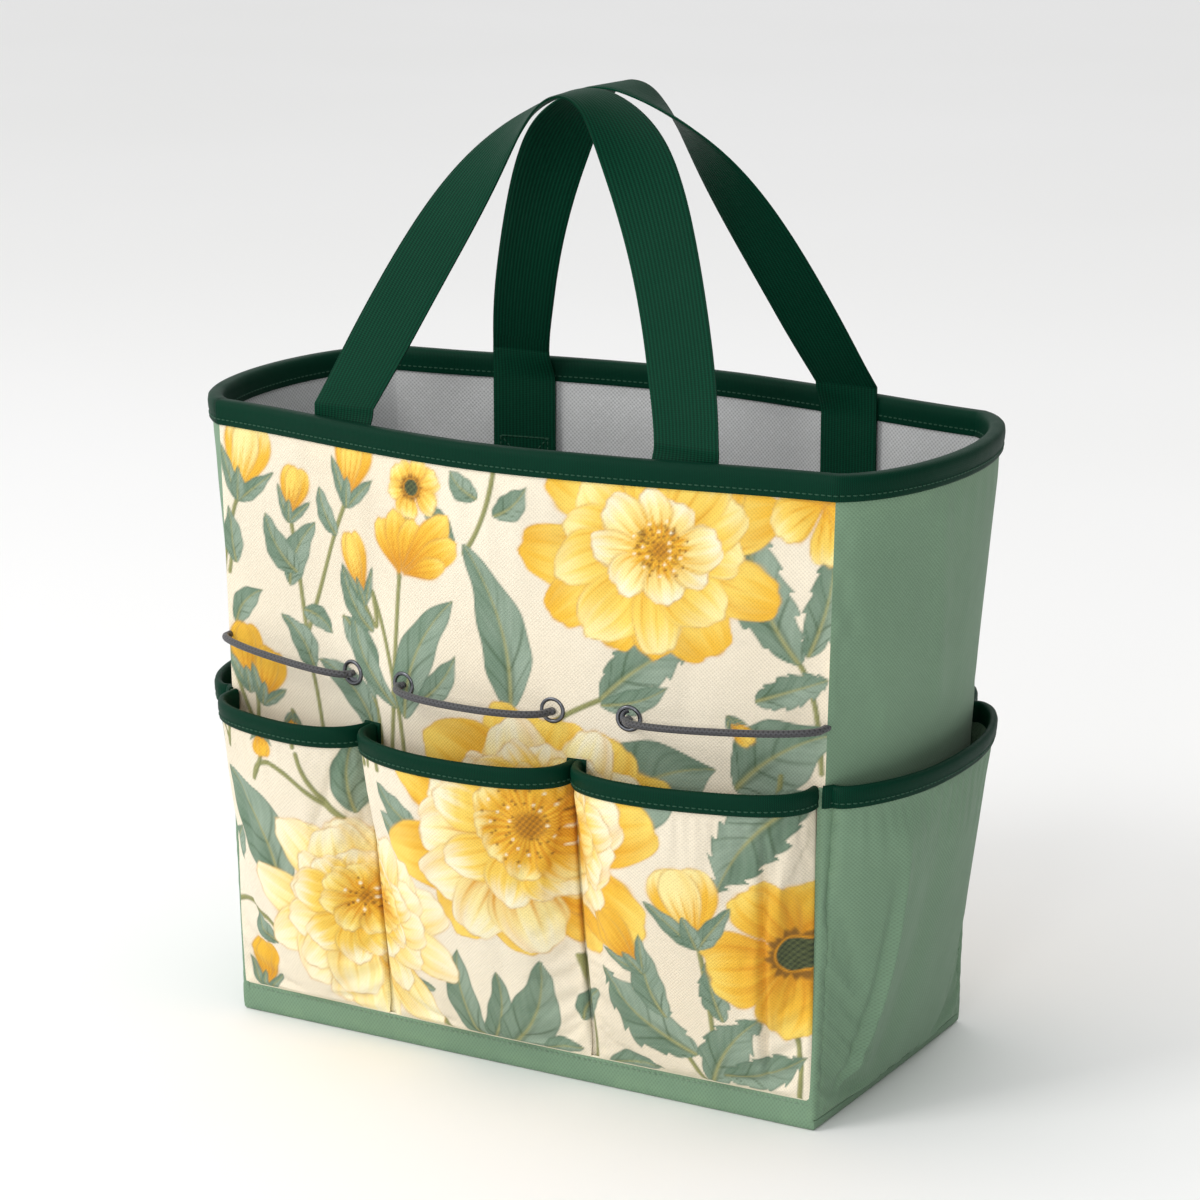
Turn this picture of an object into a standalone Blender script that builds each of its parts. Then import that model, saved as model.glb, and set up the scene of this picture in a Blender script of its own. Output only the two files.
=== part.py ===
"""Open-topped garden tool bag of padded cloth, built in metres with +Z up and the front facing -Y.

All driving dimensions are in millimetres and are turned into metres when a mesh is made.
"""
import math

import bmesh
import bpy
import numpy as np
from mathutils import Matrix, Vector

MM = 0.001

# Whole bag
HEIGHT = 360.0
BASE_HALF_LENGTH, BASE_HALF_DEPTH = 183.5, 91.5
TOP_HALF_LENGTH, TOP_HALF_DEPTH = 192.0, 91.7
FRONT_BULGE, SIDE_BULGE = 27.5, 35.0
FRONT_STATIONS, SIDE_STATIONS = 14, 9

# Wall layers, from the outside in
SKIN, FOAM, LINING = 1.2, 3.0, 0.8
GAP = 0.3
FOAM_AT = SKIN + GAP
LINING_AT = FOAM_AT + FOAM + GAP
WALL = LINING_AT + LINING
WALL_LEVELS = (1.8, 17.0, 65.0, 130.0, 205.0, 235.0, 290.0, 346.0, 358.7)

# Rim tape and base
TAPE = 1.0
RIM_TAPE_DROP = 14.0
FRONT_BAND, SIDE_BAND, BAND_CLOTH = 17.0, 6.0, 1.2
FLOOR_CLOTH, BOARD = 1.5, 3.0
BAND_GAP, BAND_STEP = 0.5, 3.0

# Pockets
POCKET_CLOTH, POCKET_TOP, POCKET_TAPE_DROP = 1.4, 194.0, 12.0
FRONT_MOUTH, SIDE_MOUTH = 32.0, 14.0
POCKET_STAND_OFF = 0.6
POCKET_EDGES = (-185.0, -80.0, 52.0, 185.0)
SIDE_POCKET_EDGE = 87.5
SEWN_MARGIN = 2.6

# Handles
STRAP_WIDTH, STRAP = 38.0, 2.0
LEG_OFFSET, GRIP_HEIGHT, GRIP_Y = 108.0, 536.5, 21.5
FOLD_HEIGHT, FOLD_LENGTH = 365.3, 21.0
TAIL_BOTTOM, TAIL_AT = 275.0, WALL + GAP + TAPE + 0.8

# Tool loops
EYELET_X = (-93.0, -56.0, 39.0, 82.0)
LOOP_HEIGHT, LOOP_SEAM_HEIGHT = 220.0, 225.0
EYELET_OUTER, EYELET_HOLE, EYELET_BARREL = 6.75, 2.7, 3.8
CORD_RADIUS = 2.0


def clear_scene():
    for old in list(bpy.data.objects):
        bpy.data.objects.remove(old, do_unlink=True)


def material(name, colour, roughness=0.85, metallic=0.0):
    made = bpy.data.materials.new(name)
    made.use_nodes = True
    shader = made.node_tree.nodes["Principled BSDF"]
    shader.inputs["Base Color"].default_value = (*colour, 1.0)
    shader.inputs["Roughness"].default_value = roughness
    shader.inputs["Metallic"].default_value = metallic
    made.diffuse_color = (*colour, 1.0)
    return made


def add_object(name, points, faces, colour, origin=(0.0, 0.0, 0.0), smooth=False, **look):
    """One named object from points in millimetres, its origin on the given point."""
    mesh = bpy.data.meshes.new(name)
    centre = np.array(origin, float)
    shifted = (np.asarray(points, float) - centre) * MM
    mesh.from_pydata([tuple(p) for p in shifted], [], [tuple(f) for f in faces])
    mesh.validate()
    grown = bmesh.new()
    grown.from_mesh(mesh)
    bmesh.ops.recalc_face_normals(grown, faces=grown.faces)
    if grown.calc_volume(signed=True) < 0:
        bmesh.ops.reverse_faces(grown, faces=grown.faces)
    grown.to_mesh(mesh)
    grown.free()
    made = bpy.data.objects.new(name, mesh)
    bpy.context.scene.collection.objects.link(made)
    made.location = Vector(centre * MM)
    mesh.materials.append(material(name + "_cloth", colour, **look))
    if smooth:
        for face in mesh.polygons:
            face.use_smooth = True
    return made


# ---------------------------------------------------------------- shape of the walls

def rise(z):
    """How far the loaded front has bowed out at this height, 0 at the base to 1."""
    t = min(max(z / 230.0, 0.0), 1.0)
    return math.sin(t * math.pi / 2) ** 1.1


def corner(z):
    t = z / HEIGHT
    along = BASE_HALF_LENGTH + (TOP_HALF_LENGTH - BASE_HALF_LENGTH) * t
    across = BASE_HALF_DEPTH + (TOP_HALF_DEPTH - BASE_HALF_DEPTH) * t
    return along, across


def front_bow(s):
    """Share of the front bulge at s, from -1 at the left seam to 1 at the right seam."""
    return 0.45 * (1 - s * s) + 0.275 * (1 + math.cos(math.pi * s))


def front_point(x, z):
    """(point, outward normal) in plan on the outside of the front wall."""
    along, across = corner(z)
    s = max(-1.0, min(1.0, x / along))
    bulge = FRONT_BULGE * rise(z)
    slope = bulge / along * (-0.9 * s - 0.275 * math.pi * math.sin(math.pi * s))
    normal = np.array([-slope, -1.0])
    return np.array([x, -(across + bulge * front_bow(s))]), normal / np.linalg.norm(normal)


def side_point(t, z):
    """(point, outward normal) in plan on the outside of the right wall, t from front to back."""
    along, across = corner(z)
    share = min(max(z / HEIGHT, 0.0), 1.0)
    reach = SIDE_BULGE * share ** 0.75 / 0.75
    inset = 61.0 + (26.0 - 61.0) * share
    a = np.array([along, -across])
    b = a + [reach, inset]
    d = np.array([along, across])
    c = d + [reach, -inset]
    u = 1 - t
    point = u ** 3 * a + 3 * u * u * t * b + 3 * u * t * t * c + t ** 3 * d
    run = 3 * u * u * (b - a) + 6 * u * t * (c - b) + 3 * t * t * (d - c)
    normal = np.array([run[1], -run[0]])
    return point, normal / np.linalg.norm(normal)


def wall_curve(wall, z):
    """Points and normals in plan along one wall, in order round the bag, seen from above."""
    if wall in ("front", "back"):
        along = corner(z)[0]
        found = [front_point(along * s, z) for s in np.linspace(-1, 1, FRONT_STATIONS)]
    else:
        found = [side_point(t, z) for t in np.linspace(0, 1, SIDE_STATIONS)]
    points = np.array([f[0] for f in found])
    normals = np.array([f[1] for f in found])
    if wall in ("back", "left"):
        points, normals = -points, -normals
    return points, normals


WALLS = ("front", "right", "back", "left")


def offset_wall(wall, z, depth, end_gap=0.0):
    """One wall's line in plan moved inwards by depth, mitred with its neighbours at the seams."""
    points, normals = wall_curve(wall, z)
    i = WALLS.index(wall)
    before = wall_curve(WALLS[i - 1], z)[1][-1]
    after = wall_curve(WALLS[(i + 1) % 4], z)[1][0]
    moves = normals.copy()
    moves[0] = (normals[0] + before) / (1 + normals[0] @ before)
    moves[-1] = (normals[-1] + after) / (1 + normals[-1] @ after)
    moved = points - depth * moves
    for end, near in ((0, 1), (-1, -2)):
        run = moved[near] - moved[end]
        moved[end] = moved[end] + run / np.linalg.norm(run) * end_gap
    return moved


def raise_to(line, z):
    return np.column_stack([line, np.full(len(line), z)])


def closed_grid(outer, inner):
    """A sheet between two grids of points, rows by columns, closed round its four edges."""
    outer, inner = np.asarray(outer, float), np.asarray(inner, float)
    rows, columns = outer.shape[:2]
    points = np.vstack([outer.reshape(-1, 3), inner.reshape(-1, 3)])
    far = rows * columns
    faces = []
    for r in range(rows - 1):
        for c in range(columns - 1):
            a = r * columns + c
            faces.append((a, a + 1, a + columns + 1, a + columns))
            faces.append((far + a, far + a + columns, far + a + columns + 1, far + a + 1))
    for c in range(columns - 1):
        for a, turn in ((c, 1), ((rows - 1) * columns + c, -1)):
            quad = (a, far + a, far + a + 1, a + 1)
            faces.append(quad[::turn])
    for r in range(rows - 1):
        for a, turn in ((r * columns, -1), (r * columns + columns - 1, 1)):
            quad = (a, far + a, far + a + columns, a + columns)
            faces.append(quad[::turn])
    return points, faces


def closed_tube(rings, ends_closed=True, looped=False):
    """A skin through rings of points of equal size, capped at both ends or joined in a loop."""
    rings = np.asarray(rings, float)
    count, size = rings.shape[:2]
    points = rings.reshape(-1, 3)
    faces = []
    for r in range(count if looped else count - 1):
        after = (r + 1) % count
        for k in range(size):
            n = (k + 1) % size
            faces.append((r * size + k, r * size + n, after * size + n, after * size + k))
    if ends_closed and not looped:
        faces.append(tuple(range(size))[::-1])
        faces.append(tuple((count - 1) * size + k for k in range(size)))
    return points, faces


# ---------------------------------------------------------------- wall layers

def build_wall_layers():
    layers = (
        ("panel", 0.0, SKIN, 1.8),
        ("foam", FOAM_AT, FOAM_AT + FOAM, 1.8),
        ("lining", LINING_AT, LINING_AT + LINING, 5.1),
    )
    colours = {"panel": (0.45, 0.56, 0.46), "foam": (0.8, 0.8, 0.78), "lining": (0.66, 0.66, 0.68)}
    for wall in WALLS:
        for layer, start, end, foot in layers:
            levels = [foot] + [z for z in WALL_LEVELS if z > foot + 1]
            outer = [raise_to(offset_wall(wall, z, start, 0.2), z) for z in levels]
            inner = [raise_to(offset_wall(wall, z, end, 0.2), z) for z in levels]
            colour = colours[layer]
            if layer == "panel" and wall in ("front", "back"):
                colour = (0.86, 0.8, 0.62)
            name = {"panel": f"{wall}_panel", "foam": f"{wall}_foam", "lining": f"{wall}_lining"}
            add_object(name[layer], *closed_grid(outer, inner), colour, smooth=False)


def build_rim_tape():
    low, top = HEIGHT - RIM_TAPE_DROP, WALL_LEVELS[-1]
    out, over = GAP + TAPE, WALL + GAP
    profile = (
        (low, -out, low), (top, -out, HEIGHT - 0.5), (top, -out + 0.6, HEIGHT),
        (top, over + TAPE - 0.6, HEIGHT), (top, over + TAPE, HEIGHT - 0.5), (low, over + TAPE, low),
        (low, over, low), (top, over, HEIGHT - TAPE), (top, -GAP, HEIGHT - TAPE), (low, -GAP, low),
    )
    rings = []
    for level, depth, z in profile:
        line = []
        for wall in WALLS:
            line.extend(offset_wall(wall, level, depth)[:-1])
        rings.append(raise_to(np.array(line), z))
    stations = np.swapaxes(np.array(rings), 0, 1)
    add_object("rim_binding", *closed_tube(stations, looped=True), (0.02, 0.12, 0.07), roughness=0.6)


# ---------------------------------------------------------------- base

def base_loop(grow):
    """Corners and side middles of the base in plan, moved outwards by grow."""
    a, b = BASE_HALF_LENGTH + grow, BASE_HALF_DEPTH + grow
    return [(-a, -b), (a, -b), (a, b), (-a, b)]


def build_base():
    points, faces = [], []

    def ring(height, depth):
        """One line round the bag, stepping down at each seam from the front band to the side band."""
        found = []
        for wall in WALLS:
            tall = FRONT_BAND if wall in ("front", "back") else SIDE_BAND
            level = {"floor": 1.8, "top": tall, "well": 1.8}[height]
            z = {"floor": 0.0, "top": tall, "well": FLOOR_CLOTH}[height]
            line = offset_wall(wall, level, depth)
            if wall in ("right", "left"):
                for end, near in ((0, 1), (-1, -2)):
                    run = line[near] - line[end]
                    line[end] = line[end] + run / np.linalg.norm(run) * BAND_STEP
            found.extend((*p, z) for p in line)
        return found

    close, far = -BAND_GAP, -(BAND_GAP + BAND_CLOTH)
    outer_low, outer_top = ring("floor", far), ring("top", far)
    inner_top, inner_low = ring("top", close), ring("well", close)
    rings = [outer_low, outer_top, inner_top, inner_low]
    size = len(outer_low)
    for r in rings:
        points.extend(r)
    for r in range(3):
        for k in range(size):
            n = (k + 1) % size
            faces.append((r * size + k, r * size + n, (r + 1) * size + n, (r + 1) * size + k))
    faces.append(tuple(range(size))[::-1])
    faces.append(tuple(3 * size + k for k in range(size)))
    add_object("base_wrap", points, faces, (0.4, 0.5, 0.41))

    low = FLOOR_CLOTH + GAP
    in_foam = -(FOAM_AT + FOAM + GAP)
    plate = [(*p, z) for z in (low, low + BOARD) for p in base_loop(in_foam)]
    add_object("base_board", *box_faces(plate), (0.1, 0.1, 0.1), roughness=0.5)
    over = low + BOARD + GAP
    cloth = [(*p, z) for z in (over, over + LINING) for p in base_loop(-(WALL + GAP))]
    add_object("base_lining", *box_faces(cloth), (0.66, 0.66, 0.68))


def box_faces(points):
    sides = [(k, (k + 1) % 4, 4 + (k + 1) % 4, 4 + k) for k in range(4)]
    return points, [(3, 2, 1, 0), (4, 5, 6, 7), *sides]


# ---------------------------------------------------------------- pockets

def front_pocket_line(left, right, z, foot, out, count=15):
    """A front pocket's cross-section in plan, out millimetres outside its inner face."""
    share = ((z - foot) / (POCKET_TOP - foot)) ** 0.85 if z > foot else 0.0
    middle, half = (left + right) / 2, (right - left) / 2 - SEWN_MARGIN
    line = []
    for a in np.linspace(0, math.pi, count):
        c, s = math.cos(a), math.sin(a)
        x = middle - half * math.copysign(abs(c) ** 0.75, c)
        base, normal = front_point(x, z)
        line.append(base + normal * (POCKET_STAND_OFF + FRONT_MOUTH * share * s ** 0.8))
    return push_out(np.array(line), out)


def side_pocket_line(z, foot, out, count=15):
    share = ((z - foot) / (POCKET_TOP - foot)) ** 0.85 if z > foot else 0.0
    line = []
    for a in np.linspace(0, math.pi, count):
        c, s = math.cos(a), math.sin(a)
        y = -SIDE_POCKET_EDGE * math.copysign(abs(c) ** 0.85, c)
        base, normal = side_at(y, z)
        line.append(base + normal * (POCKET_STAND_OFF + SIDE_MOUTH * share * s ** 0.7))
    return push_out(np.array(line), out)


def side_at(y, z):
    """The right wall at a given distance back, found by halving."""
    low, high = 0.0, 1.0
    for _ in range(40):
        middle = (low + high) / 2
        if side_point(middle, z)[0][1] < y:
            low = middle
        else:
            high = middle
    return side_point((low + high) / 2, z)


def push_out(line, distance):
    """A line in plan moved to its right-hand side, which is outwards, by distance."""
    run = np.gradient(line, axis=0)
    run /= np.linalg.norm(run, axis=1)[:, None]
    return line + distance * np.column_stack([run[:, 1], -run[:, 0]])


def build_pocket(name, line_at, foot, turn, cloth_colour):
    """A pocket and its mouth tape. line_at(z, out) gives the cross-section in plan."""
    levels = np.array([0.0, 0.12, 0.3, 0.5, 0.7, 0.86, 1.0]) * (POCKET_TOP - TAPE - GAP - foot) + foot
    levels[-2] = POCKET_TOP - POCKET_TAPE_DROP
    outer = [raise_to(line_at(z, POCKET_CLOTH), z) for z in levels]
    inner = [raise_to(line_at(z, 0.0), z) for z in levels]
    points, faces = closed_grid(outer, inner)
    add_object(name, turned(points, turn), faces, cloth_colour)

    low, top = POCKET_TOP - POCKET_TAPE_DROP, POCKET_TOP - TAPE - GAP
    out = POCKET_CLOTH + GAP + TAPE
    profile = (
        (low, out, low), (top, out, POCKET_TOP - 0.4), (top, out - 0.5, POCKET_TOP),
        (top, -GAP - TAPE + 0.5, POCKET_TOP), (top, -GAP - TAPE, POCKET_TOP - 0.4),
        (low, -GAP - TAPE, low), (low, -GAP, low), (top, -GAP, POCKET_TOP - TAPE),
        (top, POCKET_CLOTH + GAP, POCKET_TOP - TAPE), (low, POCKET_CLOTH + GAP, low),
    )
    rings = [raise_to(line_at(level, away), z) for level, away, z in profile]
    stations = np.swapaxes(np.array(rings), 0, 1)
    # It stops one station short of the wall at both ends, so that its inner flange clears it.
    points, faces = closed_tube(stations[1:-1])
    add_object(name + "_binding", turned(points, turn), faces, (0.02, 0.12, 0.07), roughness=0.6)


def turned(points, turn):
    points = np.asarray(points, float).copy()
    if turn:
        points[:, :2] *= -1
    return points


def build_pockets():
    printed, plain = (0.86, 0.8, 0.62), (0.45, 0.56, 0.46)
    foot = FRONT_BAND + 0.6
    for wall, turn in (("front", False), ("back", True)):
        for i, place in enumerate(("left", "middle", "right")):
            left, right = POCKET_EDGES[i], POCKET_EDGES[i + 1]
            name = f"{wall}_pocket_{place}"
            build_pocket(
                name,
                lambda z, out, a=left, b=right: front_pocket_line(a, b, z, foot, out),
                foot, turn, printed,
            )
    side_foot = SIDE_BAND + 0.6
    for side, turn in (("right", False), ("left", True)):
        build_pocket(
            f"{side}_side_pocket",
            lambda z, out: side_pocket_line(z, side_foot, out),
            side_foot, turn, plain,
        )


# ---------------------------------------------------------------- handles

def fold_base():
    """Where the middle of the right leg's strap crosses the fold line, in plan.

    The strap lies straight along X there, just clear of the rim at its outer edge.
    """
    middle, normal = front_point(LEG_OFFSET, WALL_LEVELS[-1])
    edge, edge_normal = front_point(LEG_OFFSET + STRAP_WIDTH / 2, WALL_LEVELS[-1])
    x = (middle - normal * (TAIL_AT + STRAP / 2))[0]
    return np.array([x, (edge - edge_normal * (TAIL_AT + STRAP / 2))[1]])


def strap_frame(stations):
    """Centre line, width direction and face normal of the whole strap above the fold line."""
    base = fold_base()
    angles = np.linspace(0.0, math.pi, stations)
    cosine, sine = np.cos(angles), np.clip(np.sin(angles), 0, 1)
    height = sine ** 2.0
    x = -base[0] * np.sign(cosine) * np.abs(cosine) ** 1.1
    y = base[1] + (-GRIP_Y - base[1]) * height ** 0.9
    z = FOLD_HEIGHT + (GRIP_HEIGHT - FOLD_HEIGHT) * height
    line = resample(np.column_stack([x, y, z]), stations)
    fine = rounded(line, 26.0)
    run = np.gradient(fine, axis=0)
    run /= np.linalg.norm(run, axis=1)[:, None]
    high = (fine[:, 2] - FOLD_HEIGHT) / (GRIP_HEIGHT - FOLD_HEIGHT)
    high = np.clip(high, 0, 1)
    twist = math.pi / 2 * high ** 4.5
    side = np.where(fine[:, 0] < 0, -1.0, 1.0)
    lie = np.column_stack([side, 0 * side, 0 * side])
    across = lie * np.cos(twist)[:, None]
    across[:, 1] += np.sin(twist)
    square = across - (across * run).sum(1)[:, None] * run
    square /= np.linalg.norm(square, axis=1)[:, None]
    ease = np.clip(high / 0.3, 0, 1)[:, None]
    ease = ease * ease * (3 - 2 * ease)
    width = lie * (1 - ease) + square * ease
    width /= np.linalg.norm(width, axis=1)[:, None]
    face = np.cross(run, width)
    face /= np.linalg.norm(face, axis=1)[:, None]
    return fine, width, face


def resample(line, count):
    reach = np.concatenate([[0], np.cumsum(np.linalg.norm(np.diff(line, axis=0), axis=1))])
    at = np.linspace(0, reach[-1], count)
    return np.column_stack([np.interp(at, reach, line[:, k]) for k in range(3)])


def rounded(line, reach):
    """The line with its crown eased over reach millimetres to each side; its ends stay put."""
    step = np.linalg.norm(line[1] - line[0])
    half = int(reach / step)
    window = np.hanning(2 * half + 3)[1:-1]
    window /= window.sum()
    before = line[0] - (line[1:half + 1] - line[0])[::-1]
    after = line[-1] - (line[-half - 1:-1] - line[-1])[::-1]
    padded = np.vstack([before, line, after])
    return np.column_stack([np.convolve(padded[:, k], window, "valid") for k in range(3)])


def strap_solid(line, width, face):
    w, t = width * STRAP_WIDTH / 2, face * STRAP / 2
    rings = np.stack([line - w - t, line + w - t, line + w + t, line - w + t], axis=1)
    return closed_tube(rings)


def cut_strap(start, end, count):
    """The strap's frame between two lengths along it, measured from the left fold line."""
    line, width, face = strap_frame(801)
    reach = np.concatenate([[0], np.cumsum(np.linalg.norm(np.diff(line, axis=0), axis=1))])
    start = reach[-1] + start if start < 0 else start
    end = reach[-1] + end if end <= 0 else end
    at = np.linspace(start, end, count)
    found = []
    for grid in (line, width, face):
        found.append(np.column_stack([np.interp(at, reach, grid[:, k]) for k in range(3)]))
    for k in (1, 2):
        found[k] /= np.linalg.norm(found[k], axis=1)[:, None]
    return found


def build_handles():
    green = (0.02, 0.12, 0.07)
    for wall, turn in (("front", False), ("back", True)):
        line, width, face = cut_strap(FOLD_LENGTH + 0.15, -(FOLD_LENGTH + 0.15), 37)
        foremost = line[0][1] - abs(width[0][1]) * STRAP_WIDTH / 2 - STRAP / 2
        hinge = turned([[0, foremost, line[0][2]]], turn)[0]
        points, faces = strap_solid(line, width, face)
        add_object(f"{wall}_handle", turned(points, turn), faces, green, origin=hinge)
        for place, ends in (("left", (0.15, FOLD_LENGTH - 0.15)), ("right", (-(FOLD_LENGTH - 0.15), -0.15))):
            piece = cut_strap(*ends, 3)
            points, faces = strap_solid(*piece)
            fold = turned([[0, fold_base()[1] - STRAP / 2, FOLD_HEIGHT]], turn)[0]
            add_object(f"{wall}_handle_fold_{place}", turned(points, turn), faces, green, origin=fold)
        for place, side in (("left", -1), ("right", 1)):
            build_tail(f"{wall}_handle_tail_{place}", side, turn, green)


def build_tail(name, side, turn, colour):
    """The strap's end, sewn down the inside of the wall over the lining and the rim tape.

    It follows the bowed wall, and straightens between the rim and the fold line.
    """
    levels = (TAIL_BOTTOM, 300.0, 330.0, 346.0, 358.7, FOLD_HEIGHT - 0.5)
    half = STRAP_WIDTH / 2
    top = fold_base()
    outer, inner = [], []
    for z, straight in zip(levels, (0, 0, 0, 0, 0.35, 1)):
        level = min(z, WALL_LEVELS[-1])
        row_out, row_in = [], []
        for share in np.linspace(-1, 1, 5):
            point, normal = front_point(side * LEG_OFFSET + share * half, level)
            end = np.array([side * top[0] + share * half, top[1]])
            for row, depth in ((row_out, 0.0), (row_in, STRAP)):
                sewn = point - normal * (TAIL_AT + depth)
                free = end + [0.0, depth - STRAP / 2]
                row.append((*(sewn * (1 - straight) + free * straight), z))
        outer.append(row_out)
        inner.append(row_in)
    points, faces = closed_grid(outer, inner)
    add_object(name, turned(points, turn), faces, colour)


# ---------------------------------------------------------------- eyelets and tool loops

def spot(x):
    """Centre of an eyelet on the front cloth and its outward axis, taken from the flat facet there."""
    below, above = (wall_curve("front", z)[0] for z in (205.0, 235.0))
    place = (x / corner(LOOP_HEIGHT)[0] + 1) / 2 * (FRONT_STATIONS - 1)
    i = int(place)
    share = place - i
    low = np.array([*(below[i] * (1 - share) + below[i + 1] * share), 205.0])
    high = np.array([*(above[i] * (1 - share) + above[i + 1] * share), 235.0])
    sideways = np.array([*(below[i + 1] - below[i]), 0.0])
    out = np.cross(sideways, high - low)
    return (low + high) / 2, out / np.linalg.norm(out), sideways


def revolve(centre, axis, profile, count):
    """A ring round an axis. The profile is (radius, distance along the axis), closed."""
    sideways = np.cross([0, 0, 1.0], axis)
    sideways /= np.linalg.norm(sideways)
    upward = np.cross(axis, sideways)
    rings = []
    for a in np.linspace(0, 2 * math.pi, count, endpoint=False):
        spoke = math.cos(a) * sideways + math.sin(a) * upward
        rings.append([centre + spoke * r + axis * d for r, d in profile])
    return closed_tube(rings, looped=True)


def turned_solid(centre, axis, profile, count):
    """A solid of revolution whose profile starts and ends on the axis."""
    sideways = np.cross([0, 0, 1.0], axis)
    sideways /= np.linalg.norm(sideways)
    upward = np.cross(axis, sideways)
    rings = []
    for radius, along in profile:
        ring = []
        for a in np.linspace(0, 2 * math.pi, count, endpoint=False):
            spoke = math.cos(a) * sideways + math.sin(a) * upward
            ring.append(centre + spoke * radius + axis * along)
        rings.append(ring)
    return closed_tube(rings)


def cut_hole(target, centre, axis, radius, start, end):
    points, faces = turned_solid(centre, axis, ((radius, start), (radius, end)), 16)
    cutter = add_object(target.name + "_cutter", points, faces, (1, 0, 0))
    cutter.hide_render = True
    cutter.display_type = "WIRE"
    cut = target.modifiers.new("hole", "BOOLEAN")
    cut.operation = "DIFFERENCE"
    cut.solver = "EXACT"
    cut.object = cutter


def build_eyelets():
    steel = dict(roughness=0.35, metallic=1.0)
    panel, foam = bpy.data.objects["front_panel"], bpy.data.objects["front_foam"]
    for i, x in enumerate(EYELET_X, 1):
        centre, axis, _ = spot(x)
        cut_hole(panel, centre, axis, EYELET_BARREL + 0.4, -(SKIN + 2), 3)
        cut_hole(foam, centre, axis, 8.2, -(FOAM_AT + FOAM + 2), -0.8)
        flange, back = GAP + 0.4, -(SKIN + 1.9)
        profile = (
            (EYELET_HOLE, back), (EYELET_HOLE, flange + 0.8), (EYELET_HOLE + 0.7, flange + 1.4),
            (EYELET_OUTER - 1.2, flange + 1.4), (EYELET_OUTER, flange + 0.5), (EYELET_OUTER, flange),
            (EYELET_BARREL, flange), (EYELET_BARREL, back),
        )
        points, faces = revolve(centre, axis, profile, 20)
        add_object(f"eyelet_{i}", points, faces, (0.25, 0.25, 0.27), smooth=False, **steel)
        near, far = -(SKIN + 0.7), -(SKIN + 1.5)
        ring = ((EYELET_BARREL + 0.3, far), (EYELET_OUTER, far),
                (EYELET_OUTER, near), (EYELET_BARREL + 0.3, near))
        points, faces = revolve(centre, axis, ring, 16)
        add_object(f"eyelet_washer_{i}", points, faces, (0.25, 0.25, 0.27), **steel)
        stop = ((0.9, -4.5), (4.2, -4.5), (4.2, -3.5), (CORD_RADIUS, -3.4), (CORD_RADIUS, 2.0), (1.4, 2.4))
        points, faces = turned_solid(centre, axis, stop, 12)
        add_object(f"cord_stop_{i}", points, faces, (0.06, 0.06, 0.065))


def loop_ends():
    """The three tool loops as (name, start, end, outward bow)."""
    lift = GAP + 0.4 + 1.4 + 0.8 + CORD_RADIUS
    eyes = []
    for x in EYELET_X:
        centre, axis, _ = spot(x)
        eyes.append(centre + axis * lift)
    seams = []
    for side in (-1, 1):
        along, across = corner(LOOP_SEAM_HEIGHT)
        away = CORD_RADIUS + 0.7
        seams.append(np.array([side * (along - 1.0), -(across + away + 0.6), LOOP_SEAM_HEIGHT]))
    return (
        ("tool_loop_left", seams[0], eyes[0], 10.0),
        ("tool_loop_middle", eyes[1], eyes[2], 18.0),
        ("tool_loop_right", eyes[3], seams[1], 14.0),
    )


def build_tool_loops():
    for name, start, end, bow in loop_ends():
        chord = end - start
        axis = chord / np.linalg.norm(chord)
        out = np.array([0.0, -1.0, 0.0])
        out -= (out @ axis) * axis
        out /= np.linalg.norm(out)
        line = []
        for a in np.linspace(0, math.pi, 81):
            c, s = math.cos(a), max(math.sin(a), 0)
            line.append(start + chord * (0.5 - 0.5 * math.copysign(abs(c) ** 0.9, c)) + out * bow * s ** 0.9)
        line = resample(np.array(line), 17)
        run = np.gradient(line, axis=0)
        run /= np.linalg.norm(run, axis=1)[:, None]
        up = np.cross(out, axis)
        rings = []
        for p, d in zip(line, run):
            sideways = np.cross(up, d)
            sideways /= np.linalg.norm(sideways)
            over = np.cross(d, sideways)
            spokes = np.linspace(0, 2 * math.pi, 8, endpoint=False)
            rings.append([p + CORD_RADIUS * (math.cos(a) * sideways + math.sin(a) * over) for a in spokes])
        points, faces = closed_tube(rings)
        add_object(name, points, faces, (0.06, 0.06, 0.065), origin=(start + end) / 2)


def main():
    clear_scene()
    build_wall_layers()
    build_rim_tape()
    build_base()
    build_pockets()
    build_handles()
    build_eyelets()
    build_tool_loops()


main()
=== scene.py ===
"""The looks of a garden tool bag: printed and plain padded cloth, bound pockets, webbing handles.

Lengths are in millimetres, +Z up, the front facing -Y, and become metres when a mesh is made.
"""

import math

import bmesh
import bpy
import numpy as np
from mathutils import Matrix, Vector


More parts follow.
